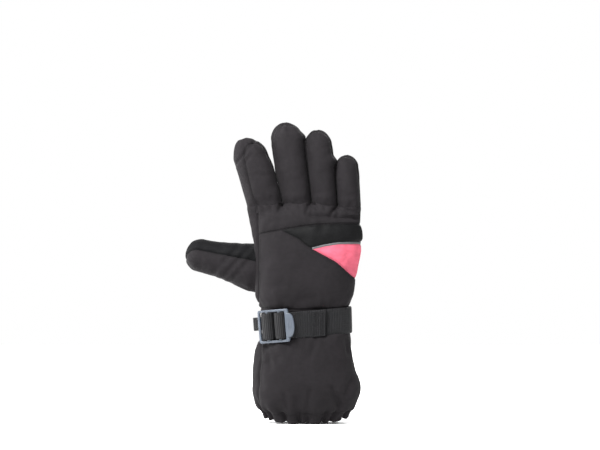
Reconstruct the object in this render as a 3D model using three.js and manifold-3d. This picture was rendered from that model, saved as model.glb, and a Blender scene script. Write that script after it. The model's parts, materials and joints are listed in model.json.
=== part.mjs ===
// Right-hand ski glove, standing on its gathered cuff hem with the fingers up.
// Millimetres. +Z runs from the cuff to the fingertips, -Y is the back of the hand and -X is the thumb side.
// It is drawn around the middle of the hem, and moved at the end so that the origin is the middle of
// its bounding box, on the plane that it stands on.
//
// The glove is built in layers, each the space between two offset copies of one envelope:
// the sewn outer shell, the insulation and the fleece lining, with a small clearance between them.
// Every finger has two hinges: the knuckle and the middle of the finger. The insulation is cut there
// with a wedge on the palm side, so that it can fold, and the sewn skins run across it as cloth does.
import * as THREE from "three";
import { mergeVertices } from "three/addons/utils/BufferGeometryUtils.js";
import Module from "manifold-3d";

const wasm = await Module();
wasm.setup();

// ---- Driving dimensions ----
const GAP = 0.3; // clearance between neighbouring pieces
const SHELL = 0.8; // outer fabric
const INSULATION = 2.6;
const LINING = 0.7;
const HEM_HEIGHT = 9;
const HAND_TOP = 203; // where the hand ends and the fingers stand free
const KNUCKLE_FOLD = 55; // degrees of flexion at each finger hinge
const THUMB_FOLD = 40;
const HINGE_SLACK = 1; // extra half angle left in each wedge, in degrees
const HINGE_GAP = 0.5; // half of the slot at a hinge, on the back of the finger

const WEBBING = { width: 25, thick: 1.4, centre: 94, tilt: 5 };
const BUCKLE = { length: 29.5, height: 31, rail: 2.2, endBar: 2.4, thick: 3.2, tab: 6.5, turn: 22 };

// Depths of the layer boundaries below the outer surface.
const SHELL_IN = SHELL;
const PAD_OUT = SHELL_IN + GAP;
const PAD_IN = PAD_OUT + INSULATION;
const LINING_OUT = PAD_IN + GAP;
const LINING_IN = LINING_OUT + LINING;

// Cross-sections of the hand and gauntlet: height, thumb-side edge, little-finger-side edge, half depth.
const SECTIONS = [
  { z: 0, left: -36, right: 35, depth: 18.5 },
  { z: 9, left: -44, right: 41, depth: 22 },
  { z: 21, left: -48.5, right: 47, depth: 25 },
  { z: 35, left: -50, right: 50.5, depth: 26 },
  { z: 60, left: -49.5, right: 45, depth: 24.5 },
  { z: 82, left: -44.5, right: 42, depth: 20.5 },
  { z: 94, left: -41.5, right: 41, depth: 19 },
  { z: 106, left: -42, right: 40.5, depth: 19.5 },
  { z: 124, left: -47, right: 44, depth: 22 },
  { z: 156, left: -48.5, right: 50.5, depth: 22 },
  { z: 184, left: -51, right: 52.5, depth: 18.5 },
  { z: HAND_TOP, left: -54, right: 51.5, depth: 14.5 },
];
const HAND_SIDES = 18;
const SQUARENESS = 2.4; // superellipse exponent of the hand's sections

// Digits: base is the hinge at the root, tilt leans the digit towards the thumb side, lean towards the palm.
// Widths and depths are half sizes at the root, the middle and before the rounded tip; bend is the middle hinge.
const DIGITS = {
  index: {
    base: [-38.8, 0, 206], tilt: 14.5, lean: 5, length: 62, bend: 31, fold: KNUCKLE_FOLD,
    widths: [15.8, 16.4, 15.4], depths: [13.2, 13, 12], backSeam: { offset: -8.4, slope: 0.367 },
  },
  middle: {
    base: [-8, 0, 207], tilt: 8.8, lean: 5, length: 77, bend: 38, fold: KNUCKLE_FOLD,
    widths: [13.1, 15, 14], depths: [13.6, 13.4, 12.4], backSeam: { offset: -4.5, slope: 0 },
  },
  ring: {
    base: [17.4, 0, 205.5], tilt: 5, lean: 5, length: 71.5, bend: 35, fold: KNUCKLE_FOLD,
    widths: [11.9, 12.3, 12.1], depths: [13.2, 13, 12], backSeam: { offset: -4.5, slope: 0 },
  },
  little: {
    base: [40.6, 0, 202.5], tilt: 3.4, lean: 5, length: 50.5, bend: 25, fold: KNUCKLE_FOLD,
    widths: [10.6, 10.6, 10.2], depths: [12.2, 12, 11], backSeam: { offset: -4.2, slope: 0 },
  },
  thumb: {
    base: [-49, 8, 146.5], tilt: 77, lean: 6, length: 64, bend: 31, fold: THUMB_FOLD,
    widths: [23, 17.8, 14.2], depths: [14.5, 13.6, 12.6],
  },
};
const FINGERS = ["index", "middle", "ring", "little"];
const DIGIT_SIDES = 12;
const EMBED = 26; // how far a digit's own tube reaches down into the hand
const EMBED_TAPER = 0.8; // its buried end is narrower, so that it stays inside the hand
const PALM_SEAM = 4; // depth of the side seams of the fingers and the hand, on the palm side
const TIP_ROUND = 0.95; // length of the rounded tip over its half width
const TIP_ANGLES = [0, 40, 72]; // the sections of the rounded tip, in degrees round it

// ---- Materials ----
const fabric = (color, roughness = 0.9) => new THREE.MeshStandardMaterial({ color, roughness, metalness: 0 });
const MATERIAL = {
  shell: fabric(0x454145),
  smooth: fabric(0x28282a, 0.75),
  accent: fabric(0xf7677f),
  piping: fabric(0x8a8a8e, 0.4),
  leather: fabric(0x2c2c2f, 0.6),
  patch: fabric(0x222224, 0.55),
  webbing: fabric(0x2a2b2d, 0.7),
  plastic: fabric(0x8f96a3, 0.35),
  padding: fabric(0xd8d8d4),
  fleece: fabric(0x3a3a3e, 1),
  elastic: fabric(0x222226, 0.8),
  label: fabric(0xe6e6e2),
};

// ---- Solids ----
function solidOf(geometry) {
  const bare = new THREE.BufferGeometry().setAttribute("position", geometry.getAttribute("position"));
  if (geometry.index) bare.setIndex(geometry.index);
  const merged = mergeVertices(bare, 1e-4);
  return new wasm.Manifold(
    new wasm.Mesh({
      numProp: 3,
      vertProperties: new Float32Array(merged.getAttribute("position").array),
      triVerts: new Uint32Array(merged.index.array),
    }),
  );
}

function geometryOf(solid) {
  const mesh = solid.getMesh();
  const geometry = new THREE.BufferGeometry();
  const points = new Float32Array(mesh.numVert * 3);
  for (let i = 0; i < mesh.numVert; i++) {
    points.set(mesh.vertProperties.subarray(i * mesh.numProp, i * mesh.numProp + 3), i * 3);
  }
  geometry.setAttribute("position", new THREE.BufferAttribute(points, 3));
  geometry.setIndex(new THREE.BufferAttribute(mesh.triVerts, 1));
  const flat = geometry.toNonIndexed();
  flat.computeVertexNormals();
  return flat;
}

// A closed solid through rings of points, each counter-clockwise seen from the last ring.
function ringSolid(rings) {
  const count = rings[0].length;
  const positions = rings.flat().flatMap((p) => [p.x, p.y, p.z]);
  const index = [];
  for (let r = 0; r + 1 < rings.length; r++) {
    for (let k = 0; k < count; k++) {
      const a = r * count + k;
      const b = r * count + ((k + 1) % count);
      index.push(a, b, b + count, a, b + count, a + count);
    }
  }
  const last = (rings.length - 1) * count;
  for (let k = 1; k + 1 < count; k++) index.push(0, k + 1, k, last, last + k, last + k + 1);
  const geometry = new THREE.BufferGeometry();
  geometry.setAttribute("position", new THREE.Float32BufferAttribute(positions, 3));
  geometry.setIndex(index);
  return solidOf(geometry);
}

// A superellipse keeps the sign of each coordinate.
const signedPower = (value, power) => Math.sign(value) * Math.abs(value) ** power;

// The hand and gauntlet, grown outwards by grow, or shrunk where it is negative.
// A shrunk copy runs on below the hem, so that cutting it out leaves the cuff open.
function handSolid(grow) {
  const ring = ({ left, right, depth }, z) => {
    const half = (right - left) / 2 + grow;
    return Array.from({ length: HAND_SIDES }, (_, k) => {
      const u = (2 * Math.PI * k) / HAND_SIDES;
      const x = half * signedPower(Math.cos(u), 2 / SQUARENESS);
      const y = (depth + grow) * signedPower(Math.sin(u), 2 / SQUARENESS);
      return new THREE.Vector3((left + right) / 2 + x, y, z);
    });
  };
  const top = SECTIONS.length - 1;
  const rings = SECTIONS.map((section, i) => ring(section, i === top ? section.z + grow : section.z));
  if (grow < 0) rings.unshift(ring(SECTIONS[0], -HEM_HEIGHT));
  return ringSolid(rings);
}

// A digit's own axes: d along it, n towards the palm and h across it, its hinge axis.
function digitFrame(digit) {
  const tilt = THREE.MathUtils.degToRad(digit.tilt);
  const lean = THREE.MathUtils.degToRad(digit.lean);
  const d = new THREE.Vector3(-Math.sin(tilt) * Math.cos(lean), Math.sin(lean), Math.cos(tilt) * Math.cos(lean));
  const h = new THREE.Vector3(Math.cos(tilt), 0, Math.sin(tilt));
  const n = new THREE.Vector3().crossVectors(d, h);
  return { base: new THREE.Vector3(...digit.base), d, h, n };
}

function digitSolid(digit, grow) {
  const { base, d, h, n } = digitFrame(digit);
  const [rootWidth, midWidth, endWidth] = digit.widths;
  const [rootDepth, midDepth, endDepth] = digit.depths;
  const round = endWidth * TIP_ROUND;
  const dome = digit.length + grow - round;
  const stations = [
    { s: -EMBED, width: rootWidth, depth: rootDepth, share: EMBED_TAPER },
    { s: 0, width: rootWidth, depth: rootDepth, share: 1 },
    { s: digit.length * 0.45, width: midWidth, depth: midDepth, share: 1 },
    ...TIP_ANGLES.map((angle) => {
      const a = THREE.MathUtils.degToRad(angle);
      return { s: dome + round * Math.sin(a), width: endWidth, depth: endDepth, share: Math.cos(a) };
    }),
  ];
  return ringSolid(
    stations.map(({ s, width, depth, share }) =>
      Array.from({ length: DIGIT_SIDES }, (_, k) => {
        const u = (2 * Math.PI * k) / DIGIT_SIDES;
        return base
          .clone()
          .addScaledVector(d, s)
          .addScaledVector(h, (width + grow) * share * Math.cos(u))
          .addScaledVector(n, (depth + grow) * share * Math.sin(u));
      }),
    ),
  );
}

// A prism of [x, y] points in the plane of axes x and y, along z from low to high.
function prism(points, low, high, frame) {
  const shape = new THREE.Shape(points.map(([x, y]) => new THREE.Vector2(x, y)));
  const geometry = new THREE.ExtrudeGeometry(shape, { depth: high - low, bevelEnabled: false });
  geometry.translate(0, 0, low);
  const matrix = new THREE.Matrix4().makeBasis(frame.x, frame.y, frame.z).setPosition(frame.origin);
  return solidOf(geometry.applyMatrix4(matrix));
}

const FAR = 150;
const ORIGIN = new THREE.Vector3();
const AXIS = {
  x: new THREE.Vector3(1, 0, 0),
  y: new THREE.Vector3(0, 1, 0),
  z: new THREE.Vector3(0, 0, 1),
};
// A pattern piece drawn on the back of the hand, as [x, z] points, cutting from y = low to y = high.
const pattern = (points, low, high) =>
  prism(points, -high, -low, { origin: ORIGIN, x: AXIS.x, y: AXIS.z, z: AXIS.y.clone().negate() });
// A profile in a digit's own plane, as [n, s] points, across the digit's width.
const acrossDigit = (digit, points) => {
  const { base, d, h, n } = digitFrame(digit);
  return prism(points, -40, 40, { origin: base, x: n, y: d, z: h });
};
// A section of a digit, as [h, n] points, along its length from s = low.
const alongDigit = (digit, points, low = -60) => {
  const { base, d, h, n } = digitFrame(digit);
  return prism(points, low, 120, { origin: base, x: h, y: n, z: d });
};
const heightBand = (low, high) => pattern([[-FAR, low], [FAR, low], [FAR, high], [-FAR, high]], -FAR, FAR);

const digitList = Object.values(DIGITS);
const envelope = (grow) => digitList.reduce((sum, digit) => sum.add(digitSolid(digit, grow)), handSolid(grow));
const layer = (outer, inner) => envelope(-outer).subtract(envelope(-inner));
const tube = (digit, outer, inner) => digitSolid(digit, -outer).subtract(digitSolid(digit, -inner));

// ---- Scene graph ----
const glove = new THREE.Group();
glove.name = "ski_glove";
const addMesh = (name, geometry, material, parent = glove) => {
  const mesh = new THREE.Mesh(geometry, material);
  mesh.name = name;
  parent.add(mesh);
};
const add = (name, solid, material, parent) => addMesh(name, geometryOf(solid), material, parent);

// ---- Fingers and thumb ----
const wedge = (digit) => Math.tan(THREE.MathUtils.degToRad(digit.fold / 2 + HINGE_SLACK));
const REACH = 30;
const LANE = [[-REACH, -REACH], [REACH, -REACH], [REACH, REACH], [-REACH, REACH]];

// What a digit's hinge leaves of the hand: everything inside the digit's lane above the wedge goes,
// and so does what the folding digit sweeps through on the palm side.
function handClearance(digit) {
  const half = digit.widths[0] + 0.5;
  const sweep = [[-half, 0], [half, 0], [half, REACH], [-half, REACH]];
  const lane = digitSolid(digit, 1.5).add(alongDigit(digit, sweep));
  const t = wedge(digit);
  const profile = [
    [-REACH, -HINGE_GAP],
    [0, -HINGE_GAP],
    [REACH, -HINGE_GAP - REACH * t],
    [REACH, digit.length + REACH],
    [-REACH, digit.length + REACH],
  ];
  return lane.intersect(acrossDigit(digit, profile));
}

function addInsulation(name, digit) {
  const pad = tube(digit, PAD_OUT, PAD_IN);
  const t = wedge(digit);
  const { bend, length } = digit;
  const lower = [
    [-REACH, HINGE_GAP],
    [0, HINGE_GAP],
    [REACH, HINGE_GAP + REACH * t],
    [REACH, bend],
    [-REACH, bend],
  ];
  const upper = [
    [-REACH, bend - HINGE_GAP],
    [0, bend - HINGE_GAP],
    [REACH, bend - HINGE_GAP - REACH * t],
    [REACH, -REACH],
    [-REACH, -REACH],
  ];
  const tip = [
    [-REACH, bend + HINGE_GAP],
    [0, bend + HINGE_GAP],
    [REACH, bend + HINGE_GAP + REACH * t],
    [REACH, length + REACH],
    [-REACH, length + REACH],
  ];
  const root = pad.intersect(acrossDigit(digit, lower)).intersect(acrossDigit(digit, upper));
  add(`${name}_insulation_base`, root, MATERIAL.padding);
  add(`${name}_insulation_tip`, pad.intersect(acrossDigit(digit, tip)), MATERIAL.padding);
}

// The four finger stalls: a back panel, a side strip that runs up one side, over the tip and down
// the other (the fourchette), and a palm panel.
function addFinger(name) {
  const digit = DIGITS[name];
  const { offset, slope } = digit.backSeam;
  const free = alongDigit(digit, LANE, GAP / 2);
  const skin = tube(digit, 0, SHELL_IN).intersect(free);
  const seam = (shift) => [
    [-REACH, offset + shift - REACH * slope],
    [REACH, offset + shift + REACH * slope],
  ];
  const back = [...seam(-GAP / 2), [REACH, -2 * REACH], [-REACH, -2 * REACH]];
  const side = [...seam(GAP / 2), [REACH, PALM_SEAM - GAP / 2], [-REACH, PALM_SEAM - GAP / 2]];
  const palm = [[-REACH, PALM_SEAM + GAP / 2], [REACH, PALM_SEAM + GAP / 2], [REACH, REACH], [-REACH, REACH]];
  add(`${name}_back_panel`, skin.intersect(alongDigit(digit, back)), MATERIAL.shell);
  add(`${name}_side_strip`, skin.intersect(alongDigit(digit, side)), MATERIAL.shell);
  add(`${name}_palm_panel`, skin.intersect(alongDigit(digit, palm)), MATERIAL.leather);
  addInsulation(name, digit);
}

// The thumb stall: woven fabric on the back and leather-like fabric on the upper side and the palm side.
function addThumb() {
  const digit = DIGITS.thumb;
  const skin = tube(digit, 0, SHELL_IN).subtract(handSolid(GAP));
  const SEAM_OFFSET = -7.5; // of the seam plane, measured along h + n
  const half = (from, to) => alongDigit(digit, [
    [from + 2 * REACH, -2 * REACH],
    [to + 2 * REACH, -2 * REACH],
    [to - 2 * REACH, 2 * REACH],
    [from - 2 * REACH, 2 * REACH],
  ]);
  add("thumb_back_panel", skin.intersect(half(SEAM_OFFSET - 2 * REACH, SEAM_OFFSET - GAP / 2)), MATERIAL.shell);
  add("thumb_palm_panel", skin.intersect(half(SEAM_OFFSET + GAP / 2, SEAM_OFFSET + 2 * REACH)), MATERIAL.leather);
  addInsulation("thumb", digit);
}

// ---- Hand and gauntlet ----
const WRIST = { low: WEBBING.centre - 10, high: WEBBING.centre + 10 };
const WRIST_SEAM = 108; // the hand panels end here, above the strap's upper edge
const SIDE_SEAM = -45; // thumb-side seam on the back of the hand
const MID = PALM_SEAM;

// Seams on the back of the hand, as [x, z] points from the thumb side to the little-finger side.
const KNUCKLE_SEAM = [[SIDE_SEAM, 179.5], [-22, 181], [-1, 185.7], [27, 187], [70, 186.5]];
const INSERT_APEX = [-20, 180.4];
const ACCENT_APEX = [5.5, 165.3];
const PIPING_LINE = [ACCENT_APEX, [18.6, 168.2], [36.5, 170], [70, 169.6]];
const ACCENT_CORNER = [62, 129];
const PIPING_WIDTH = 2;
const lower = (line, by) => line.map(([x, z]) => [x, z - by]);
const reversed = (line) => [...line].reverse();

// Everything that the free digits leave of the hand's shell.
function handShell() {
  const whole = envelope(0).subtract(envelope(-SHELL_IN));
  const free = FINGERS.map((name) => digitSolid(DIGITS[name], 0.5).intersect(alongDigit(DIGITS[name], LANE, -GAP / 2)));
  const cut = [...free, digitSolid(DIGITS.thumb, GAP)];
  return cut.reduce((left, tool) => left.subtract(tool), whole);
}

function addHandPanels() {
  const shell = handShell().intersect(heightBand(WRIST_SEAM, FAR * 2));
  const back = (points) => shell.intersect(pattern(points, -FAR, MID - GAP / 2));
  const top = [[FAR, 260], [SIDE_SEAM, 260]];
  add("knuckle_panel", back([...KNUCKLE_SEAM, ...top]), MATERIAL.shell);
  const seamRight = KNUCKLE_SEAM.slice(2);
  const insert = [INSERT_APEX, ...lower(seamRight, GAP), ...reversed(PIPING_LINE)];
  add("black_insert", back(insert), MATERIAL.smooth);
  const pipingTop = lower(PIPING_LINE, GAP);
  const pipingFoot = lower(PIPING_LINE, GAP + PIPING_WIDTH);
  add("reflective_piping", back([...pipingTop, ...reversed(pipingFoot.slice(1))]), MATERIAL.piping);
  const accentTop = lower(PIPING_LINE, 2 * GAP + PIPING_WIDTH).slice(1);
  const accent = [[ACCENT_APEX[0] + 4, ACCENT_APEX[1] - 1.9], ...accentTop, ACCENT_CORNER];
  add("accent_panel", back(accent), MATERIAL.accent);
  const main = [
    [SIDE_SEAM + GAP, 0],
    [SIDE_SEAM + GAP, KNUCKLE_SEAM[0][1] - GAP],
    [INSERT_APEX[0] - 1, INSERT_APEX[1] - 0.5],
    [ACCENT_APEX[0] - 1, ACCENT_APEX[1] - 0.8],
    [ACCENT_CORNER[0], ACCENT_CORNER[1] - 1.4],
    [FAR, ACCENT_CORNER[1] - 1.4],
    [FAR, 0],
  ];
  add("back_hand_panel", back(main), MATERIAL.shell);
  add("thumb_side_panel", back([[-FAR, 0], [SIDE_SEAM, 0], [SIDE_SEAM - GAP, 260], [-FAR, 260]]), MATERIAL.shell);
  add("palm_panel", shell.intersect(pattern([[-FAR, 0], [FAR, 0], [FAR, 260], [-FAR, 260]], MID + GAP / 2, FAR)),
    MATERIAL.leather);
}

function addPalmPatch() {
  const outline = new THREE.Shape();
  outline.moveTo(-22, 122);
  outline.lineTo(26, 122);
  outline.quadraticCurveTo(38, 124, 38, 138);
  outline.lineTo(38, 168);
  outline.quadraticCurveTo(38, 180, 26, 181);
  outline.lineTo(-20, 181);
  outline.quadraticCurveTo(-32, 180, -30, 170);
  outline.quadraticCurveTo(-14, 152, -22, 122);
  const points = outline.getPoints(4).map((p) => [p.x, p.y]);
  const skin = handSolid(GAP + 1).subtract(handSolid(GAP));
  const clear = digitSolid(DIGITS.thumb, 1.5);
  add("palm_patch", skin.intersect(pattern(points, 5, FAR)).subtract(clear), MATERIAL.patch);
}

function addGauntletPanels() {
  const shell = handSolid(0).subtract(handSolid(-SHELL_IN)).intersect(heightBand(HEM_HEIGHT + GAP, WRIST_SEAM - GAP));
  const back = (left, right) => shell.intersect(pattern([[left, 0], [right, 0], [right, FAR], [left, FAR]], -FAR, MID - GAP / 2));
  add("gauntlet_back_panel", back(SIDE_SEAM + 1 + GAP, FAR), MATERIAL.shell);
  add("gauntlet_side_panel", back(-FAR, SIDE_SEAM + 1), MATERIAL.shell);
  const palm = pattern([[-FAR, 0], [FAR, 0], [FAR, FAR], [-FAR, FAR]], MID + GAP / 2, FAR);
  add("gauntlet_palm_panel", shell.intersect(palm), MATERIAL.shell);
}

// The hem is a fabric channel, open inside at its top, with the flat elastic running round in it.
function addHem() {
  const WALL = 1.2;
  const ring = handSolid(0).subtract(handSolid(-LINING_IN)).intersect(heightBand(0, HEM_HEIGHT));
  const channel = handSolid(-WALL).subtract(handSolid(WALL - LINING_IN)).intersect(heightBand(WALL, FAR));
  add("hem_casing", ring.subtract(channel), MATERIAL.shell);
  const band = handSolid(-WALL - GAP).subtract(handSolid(WALL + GAP - LINING_IN));
  add("hem_elastic", band.intersect(heightBand(WALL + GAP, HEM_HEIGHT - 1)), MATERIAL.elastic);
}

function addHandInsulation() {
  const whole = layer(PAD_OUT, PAD_IN);
  const bulk = digitList.reduce((left, digit) => left.subtract(handClearance(digit)), whole);
  const half = (low, high) => pattern([[-FAR, -FAR], [FAR, -FAR], [FAR, 300], [-FAR, 300]], low, high);
  const back = half(-FAR, -GAP / 2);
  const palm = half(GAP / 2, FAR);
  const hand = bulk.intersect(heightBand(WRIST.high, 300));
  const cuff = bulk.intersect(heightBand(HEM_HEIGHT + GAP, WRIST.low));
  add("hand_back_insulation", hand.intersect(back), MATERIAL.padding);
  add("hand_palm_insulation", hand.intersect(palm), MATERIAL.padding);
  add("gauntlet_back_insulation", cuff.intersect(back), MATERIAL.padding);
  add("gauntlet_palm_insulation", cuff.intersect(palm), MATERIAL.padding);
  const elastic = handSolid(-PAD_OUT).subtract(handSolid(-PAD_OUT - 1.4));
  const band = pattern([[-FAR, WRIST.low + 2], [FAR, WRIST.low + 2], [FAR, WRIST.high - 2], [-FAR, WRIST.high - 2]], MID, FAR);
  add("wrist_elastic", elastic.intersect(band), MATERIAL.elastic);
}

function addLining() {
  add("lining", layer(LINING_OUT, LINING_IN).intersect(heightBand(HEM_HEIGHT + GAP, 400)), MATERIAL.fleece);
  const LABEL = { width: 20, height: 30, thick: 0.4, low: 18 };
  const inner = handSolid(-LINING_IN - GAP).subtract(handSolid(-LINING_IN - GAP - LABEL.thick));
  const x = LABEL.width / 2;
  const outline = [[-x, LABEL.low], [x, LABEL.low], [x, LABEL.low + LABEL.height], [-x, LABEL.low + LABEL.height]];
  add("care_label", inner.intersect(pattern(outline, 0, FAR)), MATERIAL.label);
}

// ---- Wrist strap and ladder-lock buckle ----
// The webbing is sewn down on the palm side, runs round the little-finger side and over the back of
// the wrist, up round the locking bar of the buckle and back over itself as the free tail.
const slopedBand = (low, high, yLow, yHigh) => {
  const rise = Math.tan(THREE.MathUtils.degToRad(WEBBING.tilt));
  const z = (x, side) => WEBBING.centre + x * rise + (side * WEBBING.width) / 2;
  return pattern([[low, z(low, -1)], [high, z(high, -1)], [high, z(high, 1)], [low, z(low, 1)]], yLow, yHigh);
};

function addStrap() {
  const UNDER_BUCKLE = -13; // where the webbing rises into the buckle
  const TAIL_END = 18.5;
  const base = handSolid(GAP + WEBBING.thick).subtract(handSolid(GAP));
  const front = base.intersect(slopedBand(UNDER_BUCKLE, FAR, -FAR, 0.001));
  const behind = base.intersect(slopedBand(28, FAR, 0, FAR));
  add("wrist_strap", front.add(behind), MATERIAL.webbing);
  const over = handSolid(2 * GAP + 2 * WEBBING.thick).subtract(handSolid(2 * GAP + WEBBING.thick));
  const folded = handSolid(2 * GAP + 3 * WEBBING.thick).subtract(handSolid(2 * GAP + WEBBING.thick));
  const tail = over.intersect(slopedBand(UNDER_BUCKLE + 4, TAIL_END, -FAR, 0));
  add("strap_tail", tail.add(folded.intersect(slopedBand(TAIL_END - 12, TAIL_END, -FAR, 0))), MATERIAL.webbing);
}

// Buckle axes: x along the strap towards its tail, y up, z out of the glove. Its origin is the outer
// edge of the end bar, at mid height and mid thickness.
const buckleFrame = new THREE.Group();
buckleFrame.position.set(-44.6, -16.2, WEBBING.centre - 3.2);
buckleFrame.rotation.set(Math.PI / 2, 0, 0);
buckleFrame.rotateY(THREE.MathUtils.degToRad(-BUCKLE.turn));
buckleFrame.rotateZ(THREE.MathUtils.degToRad(WEBBING.tilt));
glove.add(buckleFrame);

function boxSolid(x0, x1, y0, y1, z0, z1) {
  const geometry = new THREE.BoxGeometry(x1 - x0, y1 - y0, z1 - z0);
  return solidOf(geometry.translate((x0 + x1) / 2, (y0 + y1) / 2, (z0 + z1) / 2));
}
const LOCK_BAR = { x: 21.5, z: -0.2, radius: 1.3 };
const ANCHOR_BAR = { x: 9.4, z: -0.2, radius: 1.3 };

function addBuckle() {
  const { length, height, rail, endBar, thick, tab } = BUCKLE;
  const y = height / 2;
  const t = thick / 2;
  const outline = new THREE.Shape();
  const corner = 2.5;
  outline.moveTo(corner, -y);
  outline.lineTo(length, -y);
  outline.lineTo(length, -y + 4.5);
  outline.quadraticCurveTo(length + tab, -y * 0.55, length + tab, 0);
  outline.quadraticCurveTo(length + tab, y * 0.55, length, y - 4.5);
  outline.lineTo(length, y);
  outline.lineTo(corner, y);
  outline.quadraticCurveTo(0, y, 0, y - corner);
  outline.lineTo(0, -y + corner);
  outline.quadraticCurveTo(0, -y, corner, -y);
  const plate = new THREE.ExtrudeGeometry(outline, { depth: thick, bevelEnabled: false, curveSegments: 5 });
  plate.translate(0, 0, -t);
  const window = boxSolid(endBar, length - 2, -y + rail, y - rail, -thick, thick);
  const underTab = boxSolid(length + 0.4, length + tab + 1, -y, y, -thick, -0.2);
  const bar = ({ x, z, radius }) =>
    solidOf(new THREE.CylinderGeometry(radius, radius, height - 2 * rail + 0.4, 8).translate(x, 0, z));
  const frame = solidOf(plate).subtract(window).subtract(underTab).add(bar(LOCK_BAR)).add(bar(ANCHOR_BAR));
  add("buckle_frame", frame, MATERIAL.plastic, buckleFrame);
}

// Webbing bent round a bar: an arch over it, drawn in the x-z plane and as wide as the webbing.
function archGeometry(bar, halfSpan, foot, width) {
  const inner = bar.radius + GAP;
  const outer = inner + WEBBING.thick - 0.2;
  const shape = new THREE.Shape();
  shape.moveTo(bar.x - halfSpan, foot);
  shape.quadraticCurveTo(bar.x - halfSpan, bar.z + outer, bar.x, bar.z + outer);
  shape.quadraticCurveTo(bar.x + halfSpan, bar.z + outer, bar.x + halfSpan, foot);
  shape.lineTo(bar.x + halfSpan - 1.2, foot);
  shape.quadraticCurveTo(bar.x + halfSpan - 1.2, bar.z + inner, bar.x, bar.z + inner);
  shape.quadraticCurveTo(bar.x - halfSpan + 1.2, bar.z + inner, bar.x - halfSpan + 1.2, foot);
  const geometry = new THREE.ExtrudeGeometry(shape, { depth: width, bevelEnabled: false, curveSegments: 4 });
  return geometry.translate(0, 0, -width / 2).rotateX(Math.PI / 2);
}

function addBuckleWebbing() {
  const foot = -1.5;
  addMesh("strap_bight", archGeometry(LOCK_BAR, 4.6, foot, WEBBING.width), MATERIAL.webbing, buckleFrame);
  const arch = solidOf(archGeometry(ANCHOR_BAR, 5.6, foot, WEBBING.width));
  const TAB = { reach: 7, half: 7, top: -1.9, thick: 1.2 };
  const under = boxSolid(-TAB.reach, ANCHOR_BAR.x - 4.4, -TAB.half, TAB.half, TAB.top - TAB.thick, TAB.top);
  const riser = boxSolid(ANCHOR_BAR.x - 5.6, ANCHOR_BAR.x - 4.4, -TAB.half, TAB.half, TAB.top - TAB.thick, foot + 0.5);
  add("buckle_anchor", arch.add(under).add(riser), MATERIAL.webbing, buckleFrame);
}

FINGERS.forEach(addFinger);
addThumb();
addHandPanels();
addPalmPatch();
addGauntletPanels();
addHem();
addHandInsulation();
addLining();
addStrap();
addBuckle();
addBuckleWebbing();

const bounds = new THREE.Box3().setFromObject(glove);
const middle = bounds.getCenter(new THREE.Vector3());
glove.position.set(-middle.x, -middle.y, -bounds.min.z);

export default glove;
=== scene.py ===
"""Looks of the insulated right-hand ski glove: its sewn shell, padding, lining, wrist strap and buckle.

Lengths inside this script are millimetres around the middle of the cuff: x towards the little finger,
y into the palm and z up from the hem. place() takes them to the frame, which is in metres.
"""

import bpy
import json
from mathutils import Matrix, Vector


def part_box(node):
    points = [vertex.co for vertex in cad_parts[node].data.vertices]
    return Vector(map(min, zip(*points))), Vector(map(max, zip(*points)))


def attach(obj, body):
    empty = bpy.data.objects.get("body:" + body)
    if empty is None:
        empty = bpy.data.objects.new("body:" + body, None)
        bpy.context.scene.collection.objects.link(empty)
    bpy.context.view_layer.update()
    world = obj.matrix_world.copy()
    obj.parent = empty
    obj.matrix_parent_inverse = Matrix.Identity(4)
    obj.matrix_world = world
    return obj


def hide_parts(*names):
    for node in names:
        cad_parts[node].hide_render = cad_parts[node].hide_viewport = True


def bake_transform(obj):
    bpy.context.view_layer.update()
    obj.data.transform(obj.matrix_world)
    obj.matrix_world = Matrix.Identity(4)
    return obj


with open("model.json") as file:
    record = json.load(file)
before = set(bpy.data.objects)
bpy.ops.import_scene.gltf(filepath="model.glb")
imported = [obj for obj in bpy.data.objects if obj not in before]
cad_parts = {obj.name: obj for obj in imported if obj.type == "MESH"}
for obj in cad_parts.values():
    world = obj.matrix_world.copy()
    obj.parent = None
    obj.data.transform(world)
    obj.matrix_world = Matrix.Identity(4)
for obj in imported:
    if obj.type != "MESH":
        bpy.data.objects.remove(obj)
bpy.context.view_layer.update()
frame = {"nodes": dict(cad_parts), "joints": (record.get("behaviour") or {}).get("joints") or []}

import copy
import json
import math
from collections import defaultdict

import bmesh
import bpy
import numpy as np
from mathutils import Vector, kdtree, noise
from mathutils.bvhtree import BVHTree

MM = 0.001
JOINTS = {joint["name"]: joint for joint in frame["joints"]}
HEM_LOW, HEM_HIGH = (np.array(corner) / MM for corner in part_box("hem_casing"))
# The hem casing reaches 44 mm to the thumb side and 41 mm to the other, so its middle is at x = -1.5.
ORIGIN = np.array([(HEM_LOW[0] + HEM_HIGH[0]) / 2 + 1.5, (HEM_LOW[1] + HEM_HIGH[1]) / 2, 0.0])


def place(points):
    """Points of this script, in the frame."""
    return (np.asarray(points, float) + ORIGIN) * MM


def unplace(point):
    """A point of the frame, in this script's millimetres."""
    return np.asarray(point, float) / MM - ORIGIN


# ---- Sizes ----
SHELL = 0.8  # thickness of the sewn shell
HEM_HEIGHT = 9.0
WRIST_SEAM = 108.0
PALM_SEAM = 4.0  # depth of the side seams, on the palm side
SIDE_SEAM = -45.2  # thumb-side seam on the back of the hand
STRAP = {"centre": 94.0, "width": 25.0, "thick": 1.4, "slope": math.tan(math.radians(5))}
SQUARENESS = 2.4  # superellipse power of the hand's sections; 2 is an ellipse
HAND_HEIGHT = 206.0  # where the fingers start
LIP = (53.0, 14.0)  # half width and half depth there
BEYOND = 70.0  # an x past the little-finger side, where seams on the back are carried out of the cloth

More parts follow.
